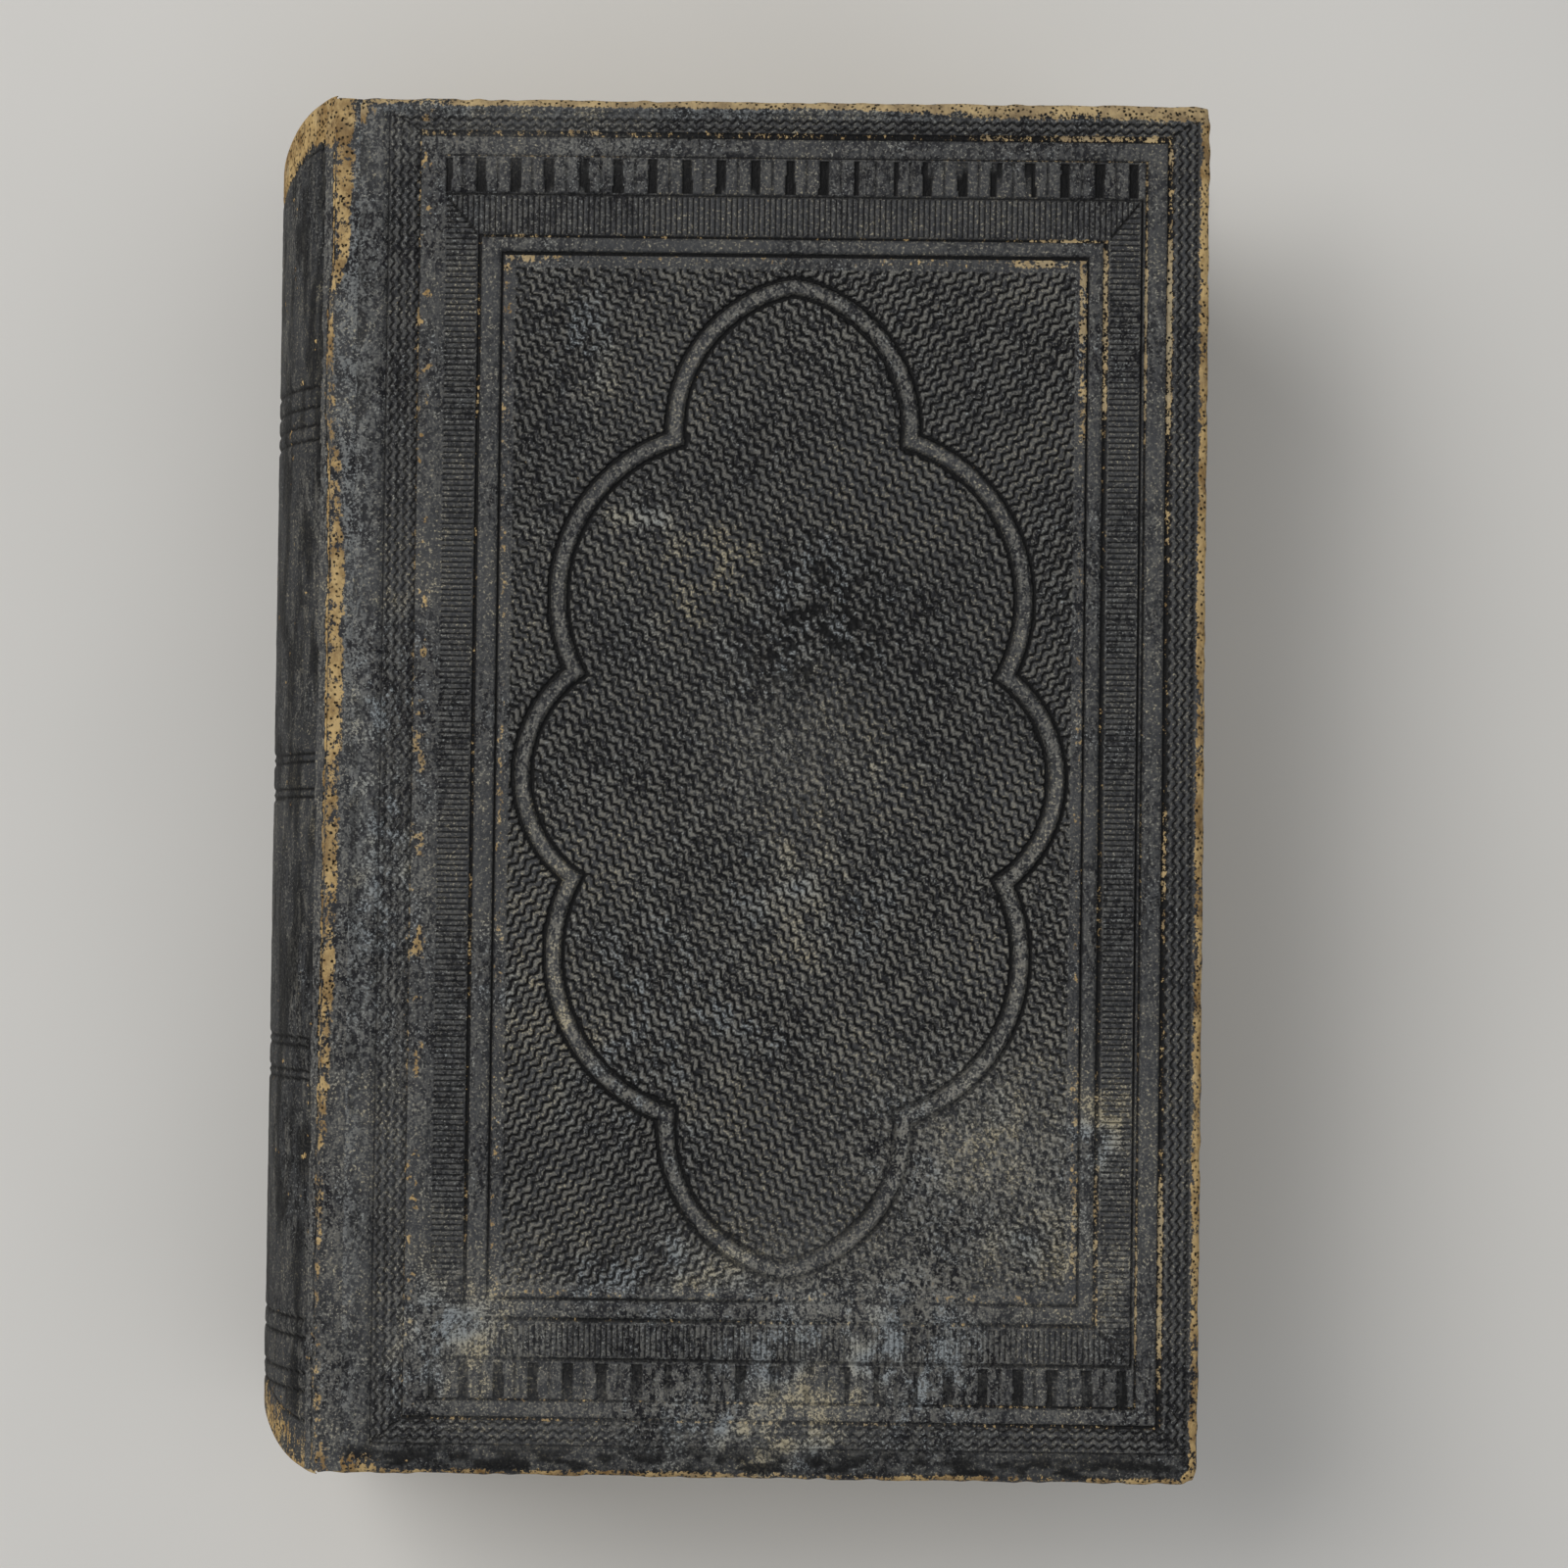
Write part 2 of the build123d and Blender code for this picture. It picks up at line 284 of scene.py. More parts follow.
def calf_leather(name, looks, grain_stretch, shine=0.18):
    """Calf dyed black, blind stamped hot, handled for over a century.

    The dye sits on the surface, so every rubbed edge shows the tan skin under it, with black left
    in the pores. The polish is gone: what stands up is rubbed to a dry broken grey, and the
    hollows keep their black dye, painted darker still as painted shade.
    """
    material, tree, place = new_material(name)
    drawn = add(tree, "VectorMath", {0: place, 1: grain_stretch}, operation="MULTIPLY")
    wiped = add(tree, "VectorMath", {0: place, 1: (1.0, 0.7, 1.0)}, operation="MULTIPLY")
    broad = add(tree, "TexNoise", {"Vector": place, "Scale": 1 / 14, "Detail": 3.0})
    fine = add(tree, "TexNoise", {"Vector": drawn, "Scale": 1 / 0.55, "Detail": 3.0, "Roughness": 0.6})
    dots = add(tree, "TexNoise", {"Vector": place, "Scale": 1 / 0.3, "Detail": 2.0, "Roughness": 0.7})
    smear = add(tree, "TexNoise", {"Vector": wiped, "Scale": 1 / 2.4, "Detail": 4.0, "Roughness": 0.7})
    names = ("tan", "dust", "rubbed", "recess", "slate")
    tan, dust, rubbed, recess, slate = [
        add(tree, "Attribute", {}, "Fac", attribute_name=mark) for mark in names
    ]

    grit = add(tree, "Math", {0: fine, 1: dots}, operation="ADD")
    black = coat(tree, looks.black, looks.charcoal, broad, 0.35, 0.7)
    black = coat(tree, black, looks.charcoal, fine, 0.42, 0.54, 0.85)
    black = coat(tree, black, looks.rubbed, dots, 0.52, 0.66, 0.36)
    black = coat(tree, black, looks.slate, grit, 0.94, 1.1, slate)
    black = coat(tree, black, looks.rubbed, grit, 0.9, 1.16, rubbed)

    # Dust lies in smears that thin out to single specks, warm here and blue-grey there.
    dust_tone = coat(tree, looks.dust_cool, looks.dust, broad, 0.42, 0.6)
    bounds = {"Value": smear, "From Min": 0.4, "From Max": 0.62, "To Max": dust}
    clouds = add(tree, "MapRange", bounds, interpolation_type="SMOOTHSTEP")
    grains = add(tree, "Math", {0: clouds, 1: 0.3, 2: dots}, operation="MULTIPLY_ADD")
    black = coat(tree, black, dust_tone, clouds, 0.0, 1.0, 0.16)
    black = coat(tree, black, dust_tone, grains, 0.62, 0.78, 0.85)
    # Painted shade: grooves, cracks and the spine's lines are painted in the hollow colour, darker than
    # whole dye; stains share this mark.
    black = add(tree, "Mix", {SHARE: recess, BELOW: black, ABOVE: looks.hollow_dye_and_shade}, data_type="RGBA")

    # Bare skin is cream on its crests, brown lower down, with black left in each pore.
    skin = coat(tree, looks.tan_dark, looks.tan_light, smear, 0.32, 0.68)
    skin = coat(tree, skin, looks.dust, dust, 0.0, 0.9, 0.75)
    pores = add(tree, "TexVoronoi", {"Vector": place, "Scale": 1 / 0.52}, "Distance")
    deep = add(tree, "Math", {0: dots, 1: 0.75, 2: pores}, operation="MULTIPLY_ADD")
    skin = coat(tree, looks.hollow_dye_and_shade, skin, deep, 0.53, 0.82)
    ragged = add(tree, "Math", {0: fine, 1: 1.5, 2: tan}, operation="MULTIPLY_ADD")
    ragged = add(tree, "Math", {0: dots, 1: 0.9, 2: ragged}, operation="MULTIPLY_ADD")
    bounds = {"Value": ragged, "From Min": 1.62, "From Max": 1.8}
    bare = add(tree, "MapRange", bounds, interpolation_type="SMOOTHSTEP")
    colour = add(tree, "Mix", {SHARE: bare, BELOW: black, ABOVE: skin}, data_type="RGBA")

    # Dye still holds some polish; bare skin and pores hold none.
    bounds = {"Value": fine, "From Min": 0.25, "From Max": 0.8, "To Min": 0.5, "To Max": 0.7}
    polish = add(tree, "MapRange", bounds)
    rough = add(tree, "Mix", {SHARE: bare, FIRST: polish, SECOND: 0.85}, data_type="FLOAT")
    height = add(tree, "Mix", {SHARE: 0.35, FIRST: fine, SECOND: dots}, data_type="FLOAT")
    # Dry old leather throws back little light, so it shines less than its IOR alone would give.
    inputs = {"Base Color": colour, "Roughness": rough, "IOR": 1.5, "Specular IOR Level": shine}
    return surfaced(material, inputs, height, 0.18)


def rag_paper(name, sheet_colour, foxing_and_shade, ruling=None, stacked=False):
    """Machine-made rag paper, gone cream and foxed: matt, with a faint cloudy formation."""
    material, tree, place = new_material(name)
    cloud = add(tree, "TexNoise", {"Vector": place, "Scale": 1 / 9, "Detail": 4.0, "Roughness": 0.6})
    noise = {"Vector": place, "Scale": 1 / 3.2, "Detail": 2.0, "Roughness": 0.7}
    spotting = add(tree, "TexNoise", noise)
    felt = add(tree, "TexNoise", {"Vector": place, "Scale": 1 / 0.35, "Detail": 3.0, "Roughness": 0.6})
    edge_darkening = add(tree, "Attribute", {}, "Fac", attribute_name="edge")
    colour = coat(tree, sheet_colour, aged(sheet_colour, 0.8), cloud, 0.3, 0.75)
    height, depth = felt, 0.02
    if stacked:
        # A leaf, about 0.09 mm thick, is too fine to show, so layers of 0.3 mm are drawn.
        piled = add(tree, "VectorMath", {0: place, 1: (0.3, 0.3, 9.0)}, operation="MULTIPLY")
        noise = {"Vector": piled, "Scale": 1 / 2.6, "Detail": 3.0, "Roughness": 0.6}
        height = add(tree, "TexNoise", noise)
        depth = 0.12
        # Painted shade: dark lines between the drawn layers, strongest where the edge mark is high.
        bounds = {"Value": edge_darkening, "From Min": 0.05, "From Max": 0.2, "To Max": 0.6}
        shade = add(tree, "MapRange", bounds)
        colour = coat(tree, colour, aged(sheet_colour, 0.25), height, 0.42, 0.7, shade)
    # The edge mark browns the paper, and on the gatherings also paints shade in the gaps between
    # layers.
    colour = coat(tree, colour, foxing_and_shade, edge_darkening, 0.0, 1.0, 0.75)
    colour = coat(tree, colour, foxing_and_shade, spotting, 0.68, 0.78, 0.5)
    if ruling:
        # A plain thin frame printed round the text area, as on many devotional books.
        middle = ((PASTE_LOW[0] + PASTE_HIGH[0]) / 2, 0.0, 0.0)
        half = ((PASTE_HIGH[0] - PASTE_LOW[0]) / 2 - 11.0, HALF_HEIGHT - 13.0, 0.0)
        away = add(tree, "VectorMath", {0: place, 1: middle}, operation="SUBTRACT")
        away = add(tree, "VectorMath", {0: away}, operation="ABSOLUTE")
        away = add(tree, "VectorMath", {0: away, 1: half}, operation="SUBTRACT")
        sides = add(tree, "SeparateXYZ", {0: away}).node.outputs
        line = add(tree, "Math", {0: sides[0], 1: sides[1]}, operation="MAXIMUM")
        line = add(tree, "Math", {0: line}, operation="ABSOLUTE")
        colour = coat(tree, ruling, colour, line, 0.12, 0.26)
    return surfaced(material, {"Base Color": colour, "Roughness": 0.88, "IOR": 1.45}, height, depth)


def pressed_board(name, tone):
    """Millboard rolled from rope and waste fibre: matt grey-brown with dark flecks."""
    material, tree, place = new_material(name)
    rolled = add(tree, "VectorMath", {0: place, 1: (1.0, 0.4, 2.5)}, operation="MULTIPLY")
    fibre = add(tree, "TexNoise", {"Vector": rolled, "Scale": 1 / 0.9, "Detail": 4.0, "Roughness": 0.7})
    colour = coat(tree, aged(tone, 0.4), tone, fibre, 0.35, 0.7)
    return surfaced(material, {"Base Color": colour, "Roughness": 0.9, "IOR": 1.45}, fibre, 0.06)


def spun_thread(name, tone, pitch, roughness):
    """Spun or woven thread: painted shade darkens the grooves of the twist between lighter ridges, and
    dirt sits between.
    """
    material, tree, place = new_material(name)
    waves = {"Vector": place, "Scale": 1 / pitch, "Distortion": 1.5, "Detail": 2.0}
    twist = add(tree, "TexWave", waves, "Fac", bands_direction="DIAGONAL")
    dirt = add(tree, "TexNoise", {"Vector": place, "Scale": 1 / 1.6, "Detail": 3.0})
    # Painted shade: the twist's grooves are painted darker than its ridges.
    mixed = {SHARE: twist, BELOW: aged(tone, 0.45), ABOVE: tone}
    colour = add(tree, "Mix", mixed, data_type="RGBA")
    colour = coat(tree, colour, aged(tone, 0.4), dirt, 0.45, 0.8, 0.6)
    return surfaced(material, {"Base Color": colour, "Roughness": roughness, "IOR": 1.5}, twist, 0.05)


def wound_silk(name, looks):
    """Silk wound over a core in two colours: it shines along each turn and has faded in the light."""
    material, tree, place = new_material(name)
    turn = add(tree, "Attribute", {}, "Fac", attribute_name="turn")
    drawn = add(tree, "VectorMath", {0: place, 1: (3.0, 1.0, 1.0)}, operation="MULTIPLY")
    noise = {"Vector": drawn, "Scale": 1 / 0.15, "Detail": 2.0, "Roughness": 0.6}
    strand = add(tree, "TexNoise", noise)
    mixed = {SHARE: turn, BELOW: looks.silk_red, ABOVE: looks.silk_cream}
    colour = add(tree, "Mix", mixed, data_type="RGBA")
    colour = coat(tree, colour, aged(looks.silk_cream, 0.18), strand, 0.4, 0.8, 0.5)
    inputs = {"Base Color": colour, "Roughness": 0.42, "IOR": 1.54, "Sheen Weight": 0.3}
    return surfaced(material, inputs, strand, 0.02)


def matt_table(name, looks):
    """A plain pale painted surface, rolled on and matt."""
    material, tree, place = new_material(name)
    cloud = add(tree, "TexNoise", {"Vector": place, "Scale": 1 / 60, "Detail": 2.0})
    colour = coat(tree, looks.floor, looks.floor_shade, cloud, 0.0, 1.0)
    return surfaced(material, {"Base Color": colour, "Roughness": 0.9, "IOR": 1.45})


# ---- settings ----


def colour_setting(name, description, code):
    """A colour that a user can change, from its sRGB hex value."""
    return FloatVectorProperty(
        name=name,
        description=description,
        default=linear(code),
        size=4,
        subtype="COLOR",
        min=0.0,
        max=1.0,
    )


def length_setting(name, description, millimetres):
    """A length that a user can change."""
    return FloatProperty(
        name=name,
        description=description,
        default=millimetres * MM,
        unit="LENGTH",
        precision=5,
        min=0.0,
    )


class LeatherLooks(bpy.types.PropertyGroup):
    """Colours of the calf."""

    black: colour_setting("Black", "Dye that is still whole", "#141418")
    charcoal: colour_setting("Charcoal", "Dye gone grey with age", "#414244")
    rubbed: colour_setting("Rubbed", "Dye rubbed dry on what stands up", "#87847b")
    # Darker than whole dye: dye left in hollows and pores, with painted shade in the grooves and
    # cracks.
    hollow_dye_and_shade: colour_setting("Hollow", "Dye in the hollows and pores", "#050506")
    dust: colour_setting("Dust", "Warm pale specks on the covers", "#b0a68c")
    dust_cool: colour_setting("Cool dust", "Blue-grey specks on the covers", "#8d9396")
    slate: colour_setting("Slate", "Dye faded to blue-grey", "#6b7176")
    tan_light: colour_setting("Light tan", "Bare skin on its crests", "#c6a873")
    tan_dark: colour_setting("Dark tan", "Bare skin lower down", "#73562f")


class TextBlockLooks(bpy.types.PropertyGroup):
    """Colours of the paper, the boards and the threads."""

    page: colour_setting("Page", "Rag paper of the leaves", "#d6c8a4")
    endpaper: colour_setting("Endpaper", "Paper of the flyleaves and pastedowns", "#cfbf98")
    # Also used for the painted shade in the gaps between the leaves' layers.
    foxing_and_shade: colour_setting("Foxing", "Browned spots and edges", "#a0804b")
    ruling: colour_setting("Ruling", "Frame printed on the pages", "#7d2f22")
    lining: colour_setting("Lining", "Brown paper glued to the spine", "#7d6240")
    board: colour_setting("Board", "Millboard of the covers", "#8a775a")
    card: colour_setting("Card", "Card between the turn-ins", "#b09a70")
    mull: colour_setting("Mull", "Cotton cloth on the spine", "#b7aa88")
    hemp: colour_setting("Hemp", "Sewing cords", "#9d8559")
    linen: colour_setting("Linen", "Kettle stitches", "#c2b28c")
    silk_red: colour_setting("Red silk", "Dark turns of the endbands", "#7a2a24")
    silk_cream: colour_setting("Cream silk", "Pale turns of the endbands", "#cbb88c")


class PlateSizes(bpy.types.PropertyGroup):
    """Sizes of the blind stamping."""

    spacing: length_setting("Mesh spacing", "Between the points of the front cover", 0.15)
    border_pitch: length_setting("Border pitch", "From one wavy line to the next", 0.85)
    field_pitch: length_setting("Field pitch", "From one wavy line to the next", 0.92)
    panel_pitch: length_setting("Panel pitch", "From one wavy line to the next", 1.04)
    wave_length: length_setting("Wave length", "From crest to crest along a wavy line", 1.7)
    wave_swing: length_setting("Wave swing", "Swing of a wavy line to each side", 0.23)
    rib_pitch: length_setting("Rib pitch", "From rib to rib in the ribbed frame", 0.6)
    brick_pitch: length_setting("Brick pitch", "From one pair of bars to the next", 3.75)
    depth: length_setting("Depth", "Depth of a stamped line", 0.44)
    band: length_setting("Band", "Width of the bead round the panel", 1.9)


class StageLooks(bpy.types.PropertyGroup):
    """The floor and the camera."""

    floor: colour_setting("Floor", "Paint of the table", "#dedcd8")
    floor_shade: colour_setting("Shade", "Cloudy patches of the table", "#d6d4d0")
    place: FloatVectorProperty(
        name="Camera place",
        description="Above the middle of the book",
        default=(0.0115, -0.0101, 0.453),
        subtype="TRANSLATION",
        unit="LENGTH",
    )
    turn: FloatVectorProperty(
        name="Camera turn",
        description="Tilt, lean and roll from straight down",
        default=(0.02548, 0.01239, 0.01279),
        subtype="EULER",
    )
    view: FloatProperty(
        name="Field of view", description="Across the picture", default=0.4065, subtype="ANGLE"
    )


# ---- covers ----

# How far the plate's lines lie from each side of a cover, in order from the edge inwards:
# edge, border, border end, fillet, fillet end, bricks, bricks end, ribs, ribs end, inner fillet,
# inner fillet end, field, and a line well inside the field.
FROM_FORE = (0, 1.3, 4.1, 4.8, 6.7, 7.15, 7.2, 7.65, 10.9, 11.8, 13.1, 13.4, 75)
FROM_RIDGE = (0, 5.8, 9.1, 9.4, 11.8, 11.95, 12.0, 12.1, 15.5, 16.2, 18.1, 18.6, 80)
FROM_HEAD = (0, 1.6, 3.5, 4.4, 6.2, 6.5, 10.3, 10.8, 14.8, 15.4, 16.7, 17.3, 78)
FROM_TAIL = (0, 3.4, 6.0, 6.5, 8.0, 8.5, 12.4, 13.1, 16.6, 17.4, 19.0, 19.5, 80)
LINES = range(13)
BORDER, BORDER_END, BRICKS, BRICKS_END, RIBS, RIBS_END, FIELD = 1, 2, 5, 6, 7, 8, 11

# Height of the stamped surface at places between those lines, in shares of the stamping depth.
# The rows are the edge, border, fillet, bricks, ribs, inner fillet and field.
PROFILE = (
    (0, 0), (0.9, 0),
    (1, -0.9), (1.1, -0.5), (1.95, -0.5), (2.2, -1), (2.8, -1),
    (3, -0.25), (3.12, -0.05), (3.5, 0), (3.88, -0.05), (4, -0.25), (4.3, -1), (4.7, -1),
    (5, -0.25), (6, -0.25), (6.3, -1), (6.7, -1),
    (7, -0.3), (8, -0.3), (8.3, -1), (8.7, -1),
    (9, -0.25), (9.15, -0.05), (9.5, 0), (9.85, -0.05), (10, -0.25), (10.3, -1), (10.8, -1),
    (11.02, -0.3), (13, -0.3),
)

# The border's waves, which are shorter and swing less than the field's
BORDER_WAVE = 1.3
BORDER_SWING = 0.18

# Heights within the bands, in shares of the stamping depth: the foot of the waves in the border,
# the field and the panel, how far waves rise from it, and the floor of a rib's groove and a bead's
WAVE_FOOT = -0.85
PANEL_FOOT = -0.9
WAVE_RISE = 0.6
RIB_FLOOR = -0.95
BEAD_FLOOR = -1.0

# Shares of a pitch: the groove beside a rib, and half the split within a pair of bars
RIB_GROOVE = 0.36
PAIR_SPLIT = 0.035

# How near two sides' lines must be to meet in a mitre, and how much of the stamping rubbing takes
MITRE = 0.055
RUBBED_AWAY = 0.82

# Three points on each arc of the lobed panel, from its middle, and a box well inside it
LOBE_END = ((0, 54.5), (10.7, 47.7), (13.8, 37.4))
LOBE_SHOULDER = ((13.8, 37.4), (24.5, 27.6), (24.6, 11.5))
LOBE_MIDDLE = ((24.6, 11.5), (30.0, 0), (24.6, -11.5))
PANEL_CORE = (11.0, 36.0)

# Rounding of a board's corners and of its outer and inner edges
CORNER_ROUND = 2.2
EDGE_ROUND = 1.0
INNER_ROUND = 0.4

# The leather beneath a board: its run from the inner edge, and the turn-in laid on from there
INNER_RUN = 1.2
TURN_IN = 12.0
TURN_IN_THICKNESS = 0.5
EDGE_STEPS = 34

# Worn places: x from the ridge, y from the middle, their reaches and strength
FRONT_RUBS = (
    (72, -40, 13, 9, 0.7), (62, -56, 22, 9, 0.75), (46, -68, 28, 5, 0.7), (16, -60, 10, 9, 0.8),
    (84, -54, 6, 9, 0.45), (8, -20, 3, 50, 0.4), (20, 70, 16, 3, 0.5), (50, 4, 8, 8, 0.35),
)
FRONT_DUST = (
    (72, -38, 12, 9, 0.3), (78, -50, 9, 7, 0.45), (58, -62, 11, 7, 0.9), (50, -70, 10, 4, 0.9),
    (34, 29, 4, 1.1, 1.0), (38, 25, 2, 2, 0.8), (52, -12, 9, 8, 0.5), (60, 2, 7, 2.2, 0.6),
    (85, -37, 3, 5, 0.9), (14, -60, 7, 7, 0.65), (47, 20, 12, 9, 0.5), (38, -52, 11, 5, 0.5),
    (28, 47, 3, 9, 0.5), (6, -2, 4, 22, 0.5), (36, -26, 14, 12, 0.4), (24, -20, 5, 16, 0.4),
)
BACK_RUBS = (
    (48, 0, 22, 30, 0.8), (20, -58, 14, 9, 0.8), (80, 55, 12, 12, 0.9), (60, -66, 26, 6, 0.8),
)
BACK_DUST = (
    (48, 8, 18, 20, 0.8), (76, 48, 10, 10, 0.9), (26, -50, 10, 10, 0.8), (60, -66, 18, 5, 0.8),
)

# Lines that have worn bare: their place among the plate's lines, reach and strength. Past the
# field's rim, where the plate's lines lie far apart, places are drawn out by the scale.
WORN_LINES = ((2.4, 0.6, 1.0), (4.5, 0.5, 0.95), (8.5, 0.5, 0.8), (11.2, 0.6, 0.8))
FIELD_SCALE = 45


def circle_through(points):
    """Centre and radius of the circle through three points."""
    (ax, ay), (bx, by), (cx, cy) = points
    twice = 2 * (ax * (by - cy) + bx * (cy - ay) + cx * (ay - by))
    a, b, c = ax**2 + ay**2, bx**2 + by**2, cx**2 + cy**2
    x = (a * (by - cy) + b * (cy - ay) + c * (ay - by)) / twice
    y = (a * (cx - bx) + b * (ax - cx) + c * (bx - ax)) / twice
    return x, y, math.hypot(ax - x, ay - y)


def outside_panel(x, y):
    """Distance outside the lobed panel, negative inside, with x and y from its middle."""
    x, y = np.abs(x), np.abs(y)
    away = np.maximum(x - PANEL_CORE[0], y - PANEL_CORE[1])
    for lobe in (LOBE_END, LOBE_SHOULDER, LOBE_MIDDLE):
        cx, cy, radius = circle_through(lobe)
        away = np.minimum(away, np.hypot(x - cx, y - cy) - radius)
    return away


def wavy(across, along, pitch, length, swing):
    """Wavy lines: 1 on the crest of a line and 0 in the groove beside it."""
    bend = swing * np.sin(2 * np.pi * along / length)
    groove = 0.5 - 0.5 * np.cos(2 * np.pi * (across + bend) / pitch)
    return 1 - groove**2


def plate_lines(across, up):
    """Where each point lies among the plate's lines, its nearest side, and how far the next is."""
    sides = np.stack([
        np.interp(COVER_WIDTH - across, FROM_FORE, LINES),
        np.interp(across, FROM_RIDGE, LINES),
        np.interp(HALF_HEIGHT - up, FROM_HEAD, LINES),
        np.interp(HALF_HEIGHT + up, FROM_TAIL, LINES),
    ])
    line = sides.min(axis=0)
    return line, sides.argmin(axis=0), np.partition(sides, 1, axis=0)[1] - line


def stamped_field(x, y, sizes, seed):
    """Height of the wavy field and lobed panel, and where dye and painted shade darken them; x and y
    from its middle.
    """
    jitter = 0.25 * (speckle(x, y, 2.3, seed + 7) - 0.5)
    falling, rising = (x + y) / math.sqrt(2), (x - y) / math.sqrt(2)
    down = x * y < 0
    wave = sizes["wave_length"], sizes["wave_swing"]
    beside, along = np.where(down, falling, rising) + jitter, np.where(down, rising, falling)
    fine = wavy(beside, along, sizes["field_pitch"], *wave)
    coarse = wavy(falling * 1.04 + rising * 0.08 + jitter, rising, sizes["panel_pitch"], *wave)

    # The panel's waves have broken down to pebbles near its middle.
    broken = np.exp(-(((x - 3) / 13) ** 2) - ((y - 16) / 15) ** 2)
    pebble = mottle(x, y, 0.62, seed + 9)
    coarse = coarse * (1 - 0.6 * broken * step(pebble, 0.5, 0.62))

    panel = outside_panel(x, y)
    half_band = sizes["band"] / 2
    inside = panel < -half_band
    height = np.where(inside, PANEL_FOOT + WAVE_RISE * coarse, WAVE_FOOT + WAVE_RISE * fine)
    height = height - 0.35 * (pebble - 0.5)
    # The grooves between the waves get dark dye and painted shade.
    hollow_dye_and_shade = step(1 - np.where(inside, coarse, fine), 0.3, 0.62)

    # A raised bead with a groove on each side runs round the panel.
    band = np.abs(panel + half_band) - half_band
    rim = band < 0.35
    bead = step(band, -0.05, -0.3)
    height = np.where(rim, BEAD_FLOOR + bead * 1.02 - 0.12 * step(band, -0.3, -0.9), height)
    # The grooves beside the bead get dark dye and painted shade.
    groove = np.maximum(1 - bead, 0.6 * step(np.abs(band + 0.32), 0.16, 0.06))
    return height, np.where(rim, groove, hollow_dye_and_shade)


def stamped(across, up, sizes, rubs, seed):
    """Height of a cover's face and what is found there, across from the ridge, up from the middle."""
    line, side, to_next = plate_lines(across, up)
    upright = side < 2
    along = np.where(upright, up, across)
    beside = np.where(upright, across, up)
    height = np.interp(line, *zip(*PROFILE))

    border = (line > BORDER + 0.05) & (line < BORDER_END + 0.1)
    waves = wavy(beside, along, sizes["border_pitch"], BORDER_WAVE, BORDER_SWING)
    height = np.where(border, WAVE_FOOT + WAVE_RISE * waves, height)

    ribs = (line > RIBS) & (line < RIBS_END)
    tooth = np.mod(along / sizes["rib_pitch"], 1)
    height = np.where(ribs & (tooth < RIB_GROOVE), RIB_FLOOR, height)

    # Bars in pairs at the head and tail: a deep gap between pairs, a fine split within each.
    bricks = (line > BRICKS) & (line < BRICKS_END) & ~upright
    brick, turn = np.divmod((across - COVER_WIDTH / 2) / sizes["brick_pitch"] + 0.5, 1)
    gap_half = 0.12 + 0.06 * speckle(brick * 3.0, up * 0.4, 1.0, seed + 14)
    gap = (turn < gap_half) | (turn > 1 - gap_half)
    split = np.abs(turn - 0.5) < PAIR_SPLIT
    worn_gap = -0.7 - 0.3 * step(speckle(brick * 3.0, up * 0.25, 1.0, seed + 15), 0.05, 0.3)
    height = np.where(bricks & gap, worn_gap, np.where(bricks & split, -0.75, height))
    # The border's wave grooves and the deepest stamping get dark dye and painted shade.
    sunk = np.where(border, step(1 - waves, 0.35, 0.75), step(-height, 0.6, 0.95))

    middle_x = (FROM_RIDGE[FIELD] + COVER_WIDTH - FROM_FORE[FIELD]) / 2
    middle_y = (FROM_TAIL[FIELD] - FROM_HEAD[FIELD]) / 2
    field = line > FIELD + 0.02
    field_height, field_groove_dye_and_shade = stamped_field(across - middle_x, up - middle_y, sizes, seed)
    height = np.where(field, field_height, height)
    sunk = np.where(field, field_groove_dye_and_shade, sunk)

    # Rubbing flattens the stamping; the mitres at the corners of the border and ribs stay sharp.
    flat = np.clip(spots(across, up, rubs) * (0.55 + 0.9 * mottle(across, up, 3.5, seed + 3)), 0, 1)
    level = np.where(line > BORDER, -0.4, 0.0)
    height = height * (1 - RUBBED_AWAY * flat) + level * RUBBED_AWAY * flat
    height = height + 0.16 * (mottle(across, up, 0.5, seed + 12) - 0.5)
    mitre = (to_next < MITRE) & (((line > BORDER) & (line < BORDER_END)) | ribs)
    height = np.where(mitre, -0.9, height)
    # Painted shade lies in the mitres too, and fades where rubbing has flattened the stamping.
    sunk = np.where(mitre, 0.9, sunk) * (1 - 0.85 * flat)
    return height * sizes["depth"], {"line": line, "side": side, "flat": flat, "sunk": sunk}


def worn_edges(across, up, patchy, close):
    """How bare a cover is along its edges and at its corners."""
    from_fore, from_head, from_tail = COVER_WIDTH - across, HALF_HEIGHT - up, HALF_HEIGHT + up
    head_reach = 2.8 - 1.4 * step(across, 75, 55)
    fore = 0.95 * step(from_fore, 1.6, 0.6) * (0.5 + 0.65 * patchy)
    head = 1.05 * step(from_head, head_reach, 0.5) * (0.55 + 0.75 * patchy)
    return np.maximum.reduce([
        fore * (0.8 + 0.2 * step(up, -50, 10)),
        head * (0.5 + 0.5 * step(across, 9, 16)),
        0.72 * step(from_tail, 1.3, 0.3) * (0.45 + 0.75 * patchy),
        # The corners: two by the fore edge, then the tail and head ends of the ridge
        1.1 * step(np.hypot(from_fore, from_head), 3.2, 1.6),
        0.9 * step(np.hypot(from_fore, from_tail), 3.0, 1.2),
        0.75 * step(np.hypot(across - 4.0, 1.4 * from_tail), 5.4, 1.5) * (0.5 + 0.6 * close),
        0.7 * step(np.hypot(across - 1.0, from_head - 1.0), 4.5, 1.5),
    ])


